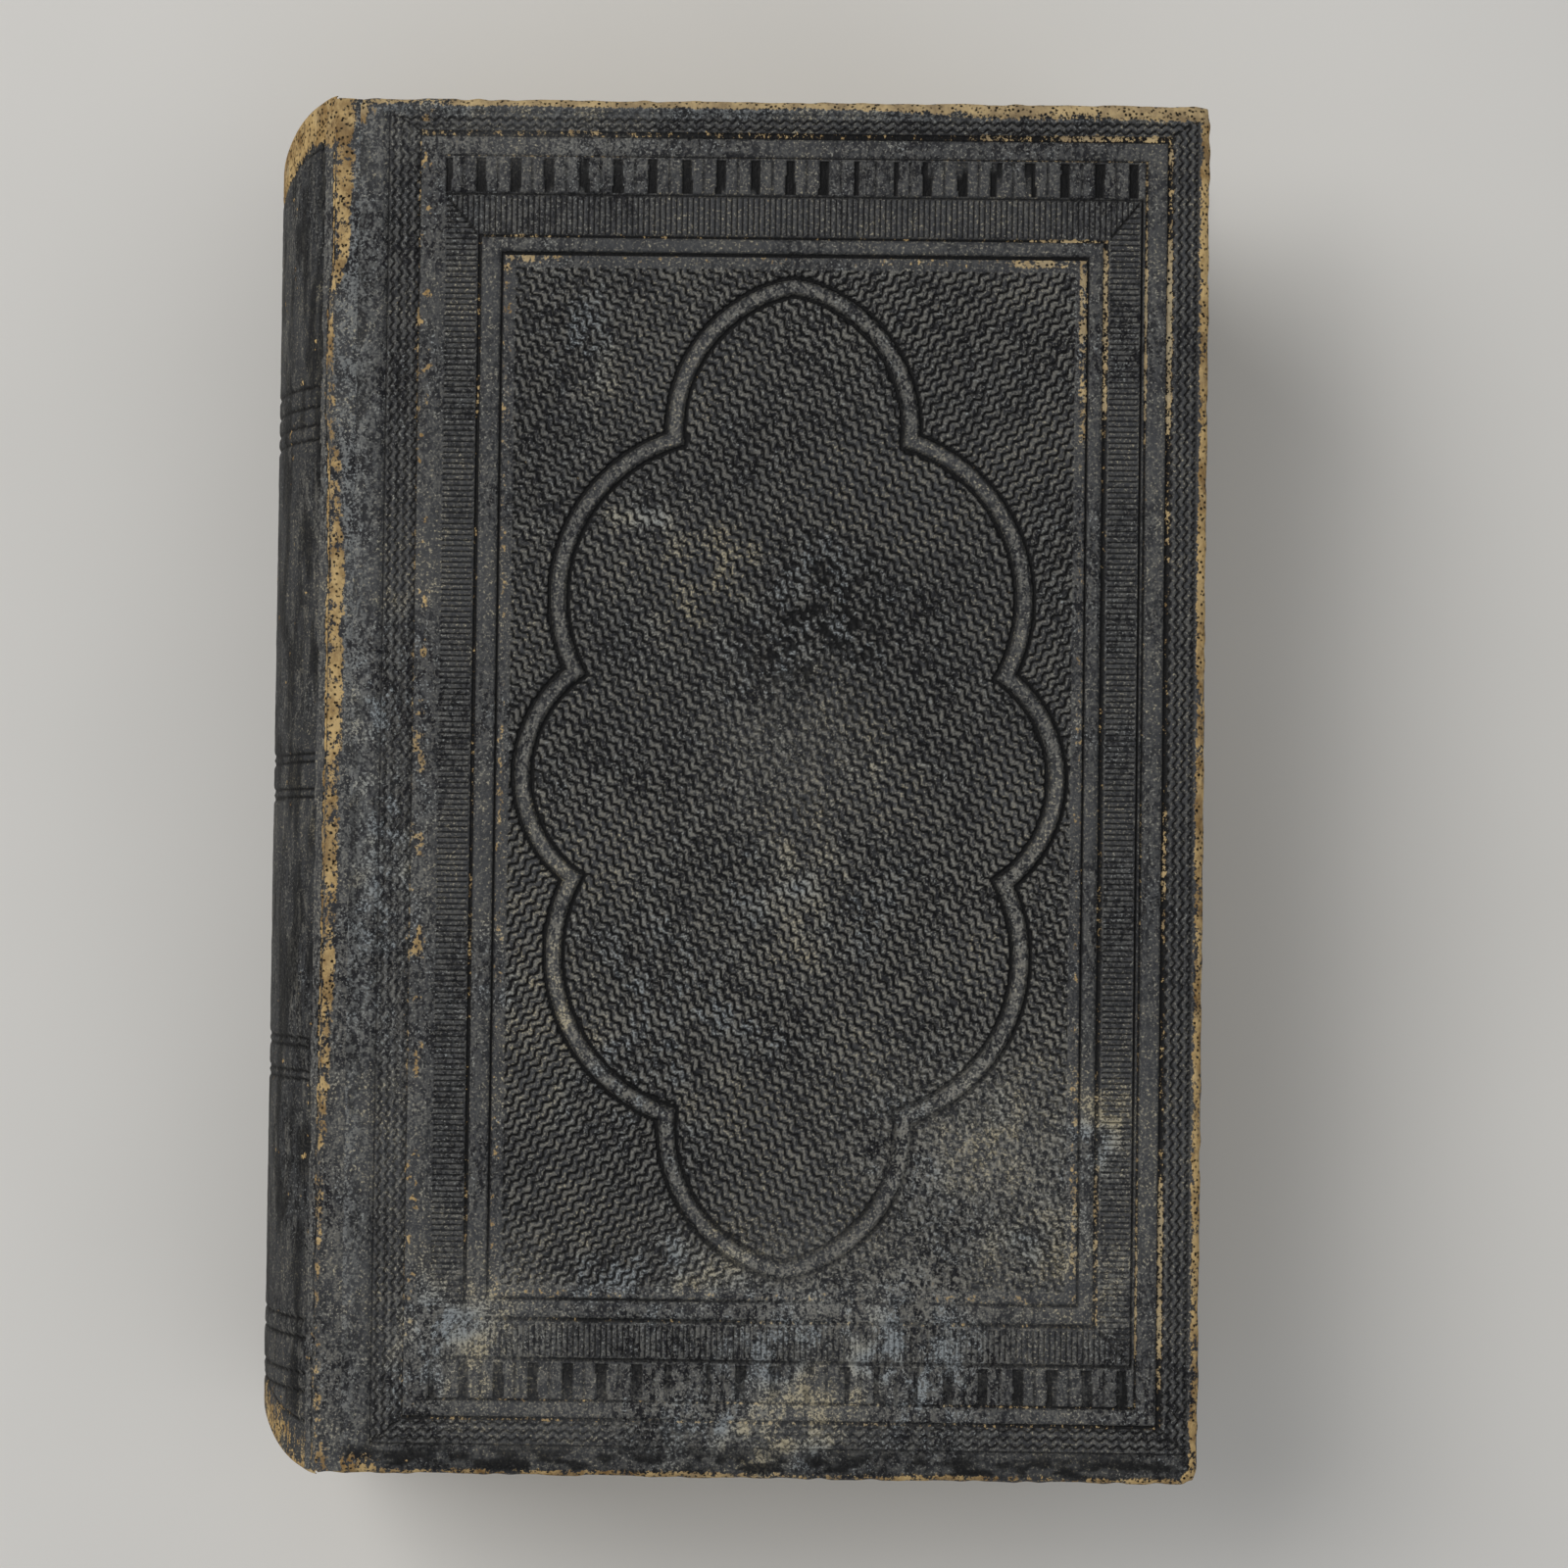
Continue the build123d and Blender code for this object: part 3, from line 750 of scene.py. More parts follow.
def worn_lines(across, up, found, close, seed):
    """How bare the plate's raised lines are, by the side that they follow."""
    line = found["line"]
    lower = step(up, -38, -46) * step(up, -68, -60)
    fore = 0.38 + 0.44 * step(up, 34, 50) + 0.28 * lower
    ridge = np.full_like(up, 0.4)
    head = 0.38 + 0.42 * step(across, 66, 80) + 0.2 * step(across, 30, 12)
    tail = np.full_like(up, 0.36)
    strength = np.choose(found["side"], (fore, ridge, head, tail))
    opened = np.where(line > FIELD, FIELD + (line - FIELD) * FIELD_SCALE, line)
    worn = np.zeros_like(line)
    for place, reach, share in WORN_LINES:
        worn = np.maximum(worn, share * step(np.abs(opened - place), reach, reach * 0.4))
    worn = worn * strength * (0.3 + 1.1 * mottle(across, up, 7.0, seed + 31)) * (0.6 + 0.75 * close)
    return worn * (line > BORDER_END - 0.2)


def cover_marks(across, up, found, dust_places, seed):
    """Where a cover is bare, dark with dye, stains or painted shade, dusty, rubbed or faded, each 0 to
    1.
    """
    line, flat = found["line"], found["flat"]
    from_head, from_tail = HALF_HEIGHT - up, HALF_HEIGHT + up
    patchy = mottle(across, up, 5.0, seed + 20)
    close = mottle(across, up, 1.1, seed + 24)
    lines = worn_lines(across, up, found, close, seed)
    dots = 0.56 * step(np.abs(across - 10.0), 1.5, 0.3)
    dots = dots * step(mottle(across, up, 1.3, seed + 40), 0.5, 0.75)
    edges = worn_edges(across, up, patchy, close)
    tan = np.clip(np.maximum.reduce([edges, lines, dots]), 0, 1)

    margin = (line < BORDER) * step(across, 6, 1)
    dust = 1.25 * spots(across, up, dust_places) * (0.4 + 0.9 * patchy)
    dust = np.clip(dust + 0.35 * close, 0, 1)
    dust = np.maximum.reduce([dust, 0.9 * lines, 0.42 * step(from_head, 3.2, 1.6)])

    field = 0.22 + 0.3 * np.exp(-(((up + 20) / 22) ** 2)) + 0.2 * step(up, 35, 60)
    rubbed = 0.12 + 0.5 * flat + (line > FIELD + 0.02) * field + 0.3 * margin + 0.3 * (patchy - 0.4)
    rubbed = np.clip(rubbed, 0, 1)

    slate = np.maximum(margin * (0.5 + 0.6 * close), 0.9 * step(from_head, 2.6, 1.4) * patchy)
    slate = np.clip(slate + 0.45 * flat * step(patchy, 0.45, 0.7), 0, 1)

    stained = margin * step(mottle(across * 1.5, up * 0.6, 1.6, seed + 44), 0.5, 0.6)
    soiled = 0.3 + 0.6 * step(mottle(across * 0.4, up, 0.9, seed + 46), 0.4, 0.6)
    stained = np.maximum(0.75 * stained, step(from_tail, 4.5, 2.0) * soiled)
    # Dark dye and painted shade in the grooves, and real stains, share one mark.
    recess = np.maximum(found["sunk"], stained)
    return {"tan": tan, "recess": recess, "dust": dust, "rubbed": rubbed, "slate": slate}


def edge_runs(thickness):
    """Lengths along a board's edge: flat, outer round, side, inner round and the run beneath."""
    side = thickness - EDGE_ROUND - INNER_ROUND
    outer, inner = EDGE_ROUND * math.pi / 2, INNER_ROUND * math.pi / 2
    return CORNER_ROUND - EDGE_ROUND, outer, side, inner, INNER_RUN


def rolled_edge(distance, thickness):
    """How far out and down a sheet lies, this far along from a corner circle's middle."""
    runs = edge_runs(thickness)
    stops = np.cumsum([0, *runs])
    turn = np.clip((distance - stops[1]) / EDGE_ROUND, 0, math.pi / 2)
    under = np.clip((distance - stops[3]) / INNER_ROUND, 0, math.pi / 2)
    out = np.minimum(distance, runs[0]) + EDGE_ROUND * np.sin(turn)
    out = out - INNER_ROUND * (1 - np.cos(under)) - np.clip(distance - stops[4], 0, INNER_RUN)
    down = EDGE_ROUND * (1 - np.cos(turn)) + np.clip(distance - stops[2], 0, runs[2])
    down = down + INNER_ROUND * np.sin(under)
    return out, down


def cover_skin(sizes, spacing, rubs, dust_places, seed, sharp_head):
    """The stamped leather over a board, rolled over its three outer edges, as a patch."""
    thickness = LEATHER_HIGH[2] - LEATHER_LOW[2]
    end = np.linspace(0, sum(edge_runs(thickness)), EDGE_STEPS)
    base_x, base_y = COVER_WIDTH - CORNER_ROUND, HALF_HEIGHT - CORNER_ROUND
    across = np.concatenate([np.arange(LEATHER_LOW[0] - RIDGE_X, base_x, spacing), base_x + end])
    middle = np.arange(-base_y, base_y, spacing)
    up = np.concatenate([-base_y - end[::-1], middle[1:], base_y + end])
    a, b = np.meshgrid(across, up, indexing="ij")

    # Past the base lines the grid fans out round the corners, which are squarer at the head.
    over_x, over_y = np.maximum(a - base_x, 0), np.maximum(np.abs(b) - base_y, 0)
    distance = np.maximum(over_x, over_y)
    least = np.minimum(over_x, over_y)
    share = np.divide(least, distance, out=np.zeros_like(a), where=distance > 0)
    angle = np.where(over_x >= over_y, share, 2 - share) * math.pi / 4
    out, down = rolled_edge(distance, thickness)
    corner = (over_x > 0) & (over_y > 0)
    square = np.where(b > 0, sharp_head, 0.25)
    reach = np.where(corner, (1 / np.maximum(np.cos(angle), np.sin(angle))) ** square, 1.0)
    ox = np.where(over_x > 0, out * np.cos(np.where(corner, angle, 0)) * reach, 0)
    oy = np.where(over_y > 0, out * np.sin(np.where(corner, angle, math.pi / 2)) * reach, 0)
    x, y = np.minimum(a, base_x) + ox, np.clip(b, -base_y, base_y) + np.sign(b) * oy

    height, found = stamped(x, y, sizes, rubs, seed)
    marks = cover_marks(x, y, found, dust_places, seed)
    flat = CORNER_ROUND - EDGE_ROUND
    top = step(distance, CORNER_ROUND + 0.2, flat)
    worn = 0.22 * step(distance, flat - 0.6, CORNER_ROUND) * speckle(a, b, 1.4, seed + 50)
    under_ridge = 0.16 * step(x, 3.4, 2.4)
    z = TOP_Z - down + height * top - worn * top - under_ridge
    uneven = worn + 0.05 * (mottle(x, y, 0.8, seed + 51) - 0.5) * (distance > 0)
    inward = np.where(distance > 0, uneven, 0)
    x = x - inward * np.where(over_x > 0, np.cos(angle), 0)
    y = y - inward * np.where(over_y > 0, np.sin(angle), 0) * np.sign(b)

    past = step(distance, CORNER_ROUND, CORNER_ROUND + 1.2)
    side_wear = (0.1 + 0.55 * mottle(a, b, 2.6, seed + 60)) * past
    on_side = np.maximum(marks["tan"] * (1 - past), side_wear)
    marks["tan"] = np.where(past > 0, on_side, marks["tan"])
    marks["recess"] = marks["recess"] * top
    return sheet(np.stack([x + RIDGE_X, y, z], axis=-1), marks)


def turn_ins(seed):
    """The pared leather folded over the inside of a board on three sides, mitred at the corners."""
    start = CORNER_ROUND - INNER_RUN
    fore, head, hinge = LEATHER_HIGH[0] - start, HALF_HEIGHT - start, LEATHER_LOW[0]
    runs = (
        ((fore, -head), (fore, head), (-1, 1), (-1, -1)),
        ((fore, head), (hinge, head), (-1, -1), (0, -1)),
        ((hinge, -head), (fore, -head), (0, 1), (-1, 1)),
    )
    steps = np.linspace(0, 1, 9)
    places = np.linspace(0, 1, 160)[:, None]
    patches = []
    for first, last, lean_first, lean_last in np.array(runs):
        outer = first + (last - first) * places
        inner = outer + (TURN_IN - start) * (lean_first + (lean_last - lean_first) * places)
        rows = outer[:, None, :] + (inner - outer)[:, None, :] * steps[None, :, None]
        x, y = rows[..., 0], rows[..., 1]
        z = BOARD_INSIDE - TURN_IN_THICKNESS + 0.06 * (mottle(x, y, 2.0, seed) - 0.5)
        by_edge = step(np.broadcast_to(steps, x.shape), 0.4, 0.0)
        tan = 0.15 + 0.45 * mottle(x, y, 6.0, seed + 1) * by_edge
        marks = {"tan": tan, "recess": np.full_like(x, 0.2), "dust": np.full_like(x, 0.1)}
        patches.append(sheet(np.stack([x, y, z], axis=-1), marks))
    return patches


class PRAYER_BOOK_OT_covers(bpy.types.Operator):
    """Stamped leather of the front and back cover"""

    bl_idname = "prayer_book.covers"
    bl_label = "Covers"

    def execute(self, context):
        plate = context.scene.prayer_book_plate
        sizes = {name: getattr(plate, name) / MM for name in plate.__annotations__}
        looks = context.scene.prayer_book_leather
        leather = calf_leather("black_calf_blind_stamped", looks, grain_stretch=(1.0, 0.6, 1.0))
        sides = (
            ("front", FRONT_RUBS, FRONT_DUST, 100, 1.0, 0.65),
            ("back", BACK_RUBS, BACK_DUST, 200, 2.0, 0.4),
        )
        for side, rubs, dust_places, seed, coarser, sharp_head in sides:
            spacing = sizes["spacing"] * coarser * 1
            skin = cover_skin(sizes, spacing, rubs, dust_places, seed, sharp_head)
            patches = [skin, *turn_ins(seed)]
            if side == "back":
                patches = [mirrored(patch) for patch in patches]
            made = piece(f"{side}_stamped_calf", patches, leather)
            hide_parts(f"{side}_cover_leather")
            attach(made, f"{side}_cover")
        return {"FINISHED"}


class PRAYER_BOOK_OT_boards(bpy.types.Operator):
    """Finishes of the boards, the infill cards and the pastedowns"""

    bl_idname = "prayer_book.boards"
    bl_label = "Boards and pastedowns"

    def execute(self, context):
        looks = context.scene.prayer_book_text_block
        board = pressed_board("millboard_rolled", looks.board)
        card = pressed_board("thin_card_pressed", looks.card)
        paste = rag_paper("endpaper_pasted_down", looks.endpaper, looks.foxing_and_shade)
        for side in ("front", "back"):
            for node, material in (("board", board), ("infill_card", card), ("pastedown", paste)):
                for place in frame["nodes"][f"{side}_{node}"].material_slots:
                    place.material = material
        return {"FINISHED"}


# ---- spine ----


def on_spine(angle, radius, y):
    """Points on an arc of the spine; the angle is 0 at the crown and grows towards the front."""
    x = SPINE_CENTRE_X - radius * np.cos(angle)
    z = MIDDLE_Z + radius * np.sin(angle)
    return np.stack(np.broadcast_arrays(x, y, z), axis=-1)


def half_arc(radius, gap=0.1):
    """The greatest angle at which an arc of this radius stays behind the ridges."""
    return math.acos((SPINE_CENTRE_X - RIDGE_X + gap) / radius)


def bent_with_the_block(made):
    """Bakes a spine piece's place into its mesh."""
    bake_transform(made)


# Blind lines across the spine, in millimetres up from its middle
SPINE_LINES = (43.4, 41.2, 39.2, 37.6, 3.1, 2.2, -0.8, -1.7)
SPINE_LINES += (-28.0, -28.9, -31.6, -32.5, -58.6, -60.6, -64.4, -66.4)
SPINE_LINE_DEPTH = 0.22
SPINE_LINE_REACH = 0.28

# The caps: how far they curve down at the crown, and their blind line below the end
CAP_DROP = 5.5
CAP_LINE = 5.6

# Faint slanting lines in the top panel of the spine: their pitch, and where they begin and end
SLANT_PITCH = 4.2
SLANT_FROM, SLANT_TO = 46, 67

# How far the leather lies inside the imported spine, and how far it is turned in at each end
SPINE_INSET = 0.1
SPINE_TURN_IN = 8.0
LIP_STEPS = 12


def spine_relief(s, y, end, depth):
    """Depth of the blind lines, the cap lines and the faint slanting lines near the head."""
    height = np.zeros_like(y)
    for place in SPINE_LINES:
        away = (y - place) / SPINE_LINE_REACH
        height = height - SPINE_LINE_DEPTH * np.exp(-(away**2))
    for sign in (1, -1):
        cap = np.abs(y * sign - (end - CAP_LINE + 1.2 * depth))
        height = height - 0.2 * np.exp(-((cap / 0.3) ** 2))
    slant = np.mod((y + 0.55 * s) / SLANT_PITCH, 1)
    slanting = np.exp(-(((slant - 0.5) / 0.05) ** 2)) * (y > SLANT_FROM) * (y < SLANT_TO)
    return height - 0.06 * slanting


def spine_marks(s, y, from_end, height, half_width):
    """Where the spine is bare, dusty or rubbed, and where painted shade darkens it, each from 0 to 1.
    """
    patchy = mottle(s, y, 5.0, 310)
    ridge = step(np.abs(s), half_width - 2.2, half_width - 0.6)
    ridge = ridge * (0.25 + 0.75 * patchy) * (0.45 + 0.55 * step(y, -62, -20))
    head = step(from_end, 5.4, 4.0) * (y > 0)
    head = head * (0.62 + 0.5 * patchy) * (0.45 + 0.55 * step(s, -6, 8))
    tail = 0.62 * step(from_end, 8, 2) * (y < 0) * patchy * 1.3
    ends = step(from_end, 1.6, 0.1) * (0.5 + 0.5 * patchy)
    flecks = 0.6 * step(mottle(s, y, 1.1, 320), 0.76, 0.84)
    streaks = step(mottle(s, y * 0.3, 2.0, 350), 0.45, 0.7)
    return {
        "tan": np.clip(np.maximum.reduce([ridge, head, tail, ends, flecks]), 0, 1),
        # Painted shade: the blind lines are painted dark, and the whole back at least a quarter dark,
        # more in streaks.
        "recess": np.maximum(step(-height, 0.08, 0.2), 0.25 + 0.5 * streaks),
        "dust": 0.15 + 0.3 * step(mottle(s, y, 3.0, 330), 0.6, 0.85),
        "rubbed": 0.55 * step(mottle(s * 2.5, y * 0.35, 1.6, 340), 0.45, 0.7),
    }


def spine_patches(spacing):
    """The leather of the back, rounded over at its caps, and its turn-ins at head and tail."""
    spread = SPINE_SPREAD - SPINE_INSET / SPINE_RADIUS
    angle = np.linspace(-spread, spread, int(2 * spread * SPINE_RADIUS / spacing))
    body = np.linspace(-1, 1, int(2 * HALF_HEIGHT / spacing))
    lip = np.linspace(0, 1, LIP_STEPS)[1:]
    a, t = np.meshgrid(angle, np.concatenate([-1 - lip[::-1], body, 1 + lip]), indexing="ij")
    s = a * SPINE_RADIUS
    ridge_level = SPINE_RADIUS * math.cos(SPINE_SPREAD)
    depth = np.clip((SPINE_RADIUS * np.cos(a) - ridge_level) / SPINE_ROUND, 0, 1)
    end = HALF_HEIGHT - CAP_DROP * depth**2.4
    lip_round = 0.08 + 0.67 * step(spread - np.abs(a), 0.0, 0.14)
    over = np.clip(np.abs(t) - 1, 0, 1) * math.pi
    y = np.clip(t, -1, 1) * (end - lip_round) + np.sign(t) * lip_round * np.sin(over)
    sink = lip_round * (1 - np.cos(over))
    grain = mottle(s, y * 0.35, 0.7, 301) - 0.5
    height = spine_relief(s, y, end, depth) + 0.1 * grain * (over == 0)
    swell = 0.08 * np.exp(-(((y + 62.5) / 3.0) ** 2))
    points = on_spine(a, SPINE_RADIUS - SPINE_INSET + height + swell - sink, y)
    marks = spine_marks(s, y, end - np.abs(y), height, spread * SPINE_RADIUS)
    patches = [sheet(points, marks, flip=True)]
    covered = np.abs(angle) < half_arc(SPINE_RADIUS - 1.6, 0.3)
    for sign in (1, -1):
        last = points[covered, -1 if sign > 0 else 0, :]
        reach = np.linspace(0, SPINE_TURN_IN, 8)
        under = np.repeat(last[:, None, :], len(reach), axis=1)
        under[:, :, 1] -= sign * reach[None, :]
        # Painted shade: the turn-ins tucked under the caps are painted half dark.
        tucked_marks = {"tan": np.full(under.shape[:2], 0.3), "recess": np.full(under.shape[:2], 0.5)}
        patches.append(sheet(under, tucked_marks, flip=sign > 0))
    return patches


class PRAYER_BOOK_OT_spine(bpy.types.Operator):
    """Tight leather back with blind lines and rounded caps"""

    bl_idname = "prayer_book.spine"
    bl_label = "Spine leather"

    def execute(self, context):
        looks = context.scene.prayer_book_leather
        leather = calf_leather(
            "black_calf_tight_back", looks, grain_stretch=(1.0, 0.35, 1.0), shine=0.08
        )
        spacing = 0.3 * 1
        made = piece("spine_calf", spine_patches(spacing), leather)
        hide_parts("spine_leather")
        bent_with_the_block(made)
        return {"FINISHED"}


# ---- ridges ----

# The bare band along the ridge: places up the book, how far it lies towards the cover, its width
WORN_BAND = (
    (-75, 0.4, 1.2), (-65, -0.2, 0.5), (-45, -0.2, 0.55), (-30, 0.2, 0.75), (-10, 0.6, 0.9),
    (20, 0.8, 0.95), (34, 0.5, 0.8), (40, -0.3, 0.8), (52, -0.4, 0.5), (58, 0.9, 0.85),
    (75, 1.2, 1.3),
)

# How far a ridge's strip of leather reaches onto the spine and onto the cover
RIDGE_STRIP = (-2.2, 2.8)


def ridge_patch(seed, spacing):
    """The strip of leather round the front ridge, bare and cracked along its crest."""
    low, high = RIDGE_STRIP
    strip = np.linspace(low, high, int((high - low) / spacing) + 1)
    up = np.linspace(-HALF_HEIGHT + 0.35, HALF_HEIGHT - 0.35, int(2 * HALF_HEIGHT / spacing))
    s, y = np.meshgrid(strip, up, indexing="ij")
    angle = SPINE_SPREAD + np.minimum(s, 0) / SPINE_RADIUS
    x = SPINE_CENTRE_X - SPINE_RADIUS * np.cos(angle) + np.maximum(s, 0)
    z = MIDDLE_Z + SPINE_RADIUS * np.sin(angle)

    band_up, band_place, band_width = zip(*WORN_BAND)
    place = np.interp(y, band_up, band_place) + 0.5 * (mottle(y, s * 0, 6.0, seed) - 0.5)
    width = np.interp(y, band_up, band_width)
    away = np.abs(s - place) / width
    crust = mottle(s, y, 0.9, seed + 5)
    ease = np.minimum(step(s, low, low + 0.7), step(s, high, high - 0.7))
    lift = 0.1 * np.exp(-(away**2)) * ease + 0.12 * (crust - 0.5) * ease - 0.05
    crack = step(np.abs(s - place + 1.25 * width - 0.35 * (crust - 0.5)), 0.22, 0.05) * ease
    crack = crack * step(y, HALF_HEIGHT - 5.0, HALF_HEIGHT - 7.0)
    lift = lift - 0.22 * crack
    x = x + np.where(s < 0, -np.cos(angle), 0) * 0.7 * lift
    z = z + np.where(s < 0, np.sin(angle), 1.0) * lift - 0.12 * (1 - ease)

    fade = 0.62 + 0.38 * step(y, -62, -12)
    worn = mottle(s, y, 3.2, seed + 11)
    holes = 0.75 + 0.25 * step(y, 44, 60) - 0.35 * step(np.abs(y - 38), 12, 6)
    tan = step(away, 1.5, 0.4) * (0.1 + 0.9 * worn * holes + 0.35 * crust) * fade
    cap = step(y, HALF_HEIGHT - 6.5, HALF_HEIGHT - 4.5) * step(s, 2.2, 1.2) * (0.6 + 0.5 * crust)
    marks = {
        "tan": np.maximum(np.clip(tan, 0, 1), cap) * (1 - crack),
        # Painted shade: the crack is painted dark.
        "recess": np.clip(0.9 * crack, 0, 1),
        "dust": 0.1 + 0.25 * crust,
        "rubbed": 0.15 + 0.4 * mottle(s, y, 4.0, seed + 9),
        "slate": 0.8 * step(s, place, place + 1.0) * step(y, -30, 40),
    }
    return sheet(np.stack([x, y, z], axis=-1), marks)


class PRAYER_BOOK_OT_joints(bpy.types.Operator):
    """The ridges, where the leather turns from the spine onto each cover"""

    bl_idname = "prayer_book.joints"
    bl_label = "Ridges"

    def execute(self, context):
        looks = context.scene.prayer_book_leather
        leather = calf_leather("black_calf_worn_ridge", looks, grain_stretch=(1.0, 0.5, 1.0))
        spacing = 0.2 * 1
        for side, seed in (("front", 400), ("back", 440)):
            patch = ridge_patch(seed, spacing)
            if side == "back":
                patch = mirrored(patch)
            made = piece(f"{side}_ridge_calf", [patch], leather)
            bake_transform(made)
        return {"FINISHED"}


# ---- linings, cords and endbands ----


def curved_layer(outer, thickness, low, high):
    """The outer and the inner face of a thin curved layer on the spine."""
    angle = np.linspace(-half_arc(outer), half_arc(outer), 90)
    y = np.linspace(low, high, 120)
    a, v = np.meshgrid(angle, y, indexing="ij")
    outer = outer + 0.03 * (mottle(a * outer, v, 2.0, 500) - 0.5)
    clean = {"edge": np.zeros_like(a)}
    outside = sheet(on_spine(a, outer, v), clean, flip=True)
    return [outside, sheet(on_spine(a, outer - thickness, v), clean)]


def twisted_cord(node, twist, strands, ripple):
    """A round cord bent along the spine, its strands standing out, each turn as long as its twist."""
    low, high = corners(node)
    diameter = high[1] - low[1]
    radius = SPINE_CENTRE_X - low[0] - diameter / 2
    y = (low[1] + high[1]) / 2
    reach = math.asin((high[2] - low[2]) / 2 / (radius + diameter / 2))
    along = np.linspace(-reach, reach, 260)
    around = np.linspace(0, 2 * math.pi, 25)[:-1]
    a, r = np.meshgrid(along, around, indexing="ij")
    wave = np.abs(np.sin(strands * r / 2 + a * radius / twist * math.pi))
    size = diameter / 2 * (1 - ripple + ripple * wave)
    points = on_spine(a, radius + size * np.cos(r), y + size * np.sin(r))
    return sheet(points, {"turn": wave}, closed=True, flip=True)


class PRAYER_BOOK_OT_linings(bpy.types.Operator):
    """Paper lining, mull, sewing cords and kettle stitches under the leather back"""

    bl_idname = "prayer_book.linings"
    bl_label = "Spine linings and cords"

    def execute(self, context):
        looks = context.scene.prayer_book_text_block
        brown = rag_paper("brown_paper_glued", looks.lining, aged(looks.lining, 0.4))
        mull = spun_thread("cotton_mull_open_weave", looks.mull, pitch=0.5, roughness=0.85)
        hemp = spun_thread("hemp_cord_twisted", looks.hemp, pitch=0.6, roughness=0.8)
        linen = spun_thread("linen_thread_waxed", looks.linen, pitch=0.3, roughness=0.6)
        layers = (
            ("spine_lining_paper", 0.25, brown, "brown_lining_paper"),
            ("spine_mull", 0.3, mull, "mull_cloth"),
        )
        for node, thickness, material, slot in layers:
            low, high = corners(node)
            faces = curved_layer(SPINE_CENTRE_X - low[0], thickness, low[1], high[1])
            made = piece(f"{node}_sheet", faces, material)
            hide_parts(node)
            bent_with_the_block(made)
        cords = [f"sewing_cord_{number}" for number in range(1, 5)]
        stitches = ["head_kettle_stitch", "tail_kettle_stitch"]
        for node in cords + stitches:
            material, slot = (hemp, "hemp_cord") if node in cords else (linen, "linen_thread")
            cord = twisted_cord(node, twist=0.9, strands=3, ripple=0.16)
            made = piece(f"{node}_twist", [cord], material)
            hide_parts(node)
            bent_with_the_block(made)
        return {"FINISHED"}


# One red and one cream band of the endbands together, along the spine
SILK_PAIR = 2.1


class PRAYER_BOOK_OT_endbands(bpy.types.Operator):
    """Silk wound over a cord at the head and tail of the leaves"""

    bl_idname = "prayer_book.endbands"
    bl_label = "Endbands"

    def execute(self, context):
        looks = context.scene.prayer_book_text_block
        silk = wound_silk("silk_wound_red_and_cream", looks)
        hemp = spun_thread("endband_cord_hemp", looks.hemp, pitch=0.6, roughness=0.8)
        for end in ("head", "tail"):
            rope = twisted_cord(f"{end}_endband_core", twist=0.9, strands=3, ripple=0.1)
            core = piece(f"{end}_endband_cord", [rope], hemp)
            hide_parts(f"{end}_endband_core")
            bent_with_the_block(core)
            node = f"{end}_endband_silk"
            points, quads, _ = twisted_cord(node, twist=0.42, strands=2, ripple=0.16)
            arc = np.arctan2(points[:, 2] - MIDDLE_Z, SPINE_CENTRE_X - points[:, 0]) * SPINE_RADIUS
            bands = {"turn": step(np.abs(np.mod(arc / SILK_PAIR, 1) - 0.5), 0.22, 0.28)}
            made = piece(f"{end}_endband_winding", [(points, quads, bands)], silk)
            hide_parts(node)
            bent_with_the_block(made)
        return {"FINISHED"}


# ---- leaves ----

# Layers in a gathering, and the rings of a layer: their share of its height and how far drawn in
LAYERS = 9
LAYER_RINGS = ((0, 0.12), (0.22, 0.02), (0.78, 0.02), (1, 0.12))

# The flat outer faces of a gathering: rings from the edge to the middle, and their browning
FACE_RINGS = ((1.0, 0.045), (0.985, 0.03), (0.9, 0.01), (0.5, 0.0), (0.0, 0.0))

# How deep the fore edge is hollowed, and the gap between the gatherings and a flyleaf
FORE_HOLLOW = 5.0
FLYLEAF_GAP = 0.08

# The single leaves as drawn, and how much their surface rises and falls
LEAF_THICKNESS = 0.1
LEAF_SWELL = 0.05

# How far the paper in the joints stops short of the head and tail, and its gap to the flyleaf
JOINT_PAPER_MARGIN = 4.0
JOINT_PAPER_GAP = 0.06


def fore_hollow(z):
    """How far the hollow fore edge lies inside its outermost leaf at this height."""
    half = PASTE_LOW[2] - MIDDLE_Z
    radius = (half**2 + FORE_HOLLOW**2) / (2 * FORE_HOLLOW)
    return FORE_HOLLOW - (radius - math.sqrt(max(radius**2 - (z - MIDDLE_Z) ** 2, 0)))


def layer_outline(z, layer, reach, rng, seed):
    """The outline of one layer of leaves, round by its four sides.

    The reach gives its fore edge, its fold and half its height.
    """
    fore, fold, half = reach
    ends = half - np.abs(rng.normal(0, 0.045, 2)) - 0.01
    side = np.linspace(-1, 1, 64)
    edge_y = side * (ends[0] + ends[1]) / 2 + (ends[1] - ends[0]) / 2
    fore_x = fore + 0.05 * (speckle(side * 30, side * 0 + z * 9, 4.0, seed + layer) - 0.5)
    run = np.linspace(fore, fold, 40)[1:]
    head_y = ends[1] + 0.05 * (speckle(run, run * 0 + z * 7, 3.0, seed + 30 + layer) - 0.5)
    tail_y = -ends[0] + 0.05 * (speckle(run, run * 0 - z * 7, 3.0, seed + 60 + layer) - 0.5)
    parts = (
        (fore_x, edge_y),
        (run, head_y),
        (np.full(len(side) - 1, fold), edge_y[-2::-1]),
        (run[-2::-1], tail_y[-2::-1]),
    )
    return np.concatenate([np.stack(part, axis=-1) for part in parts])


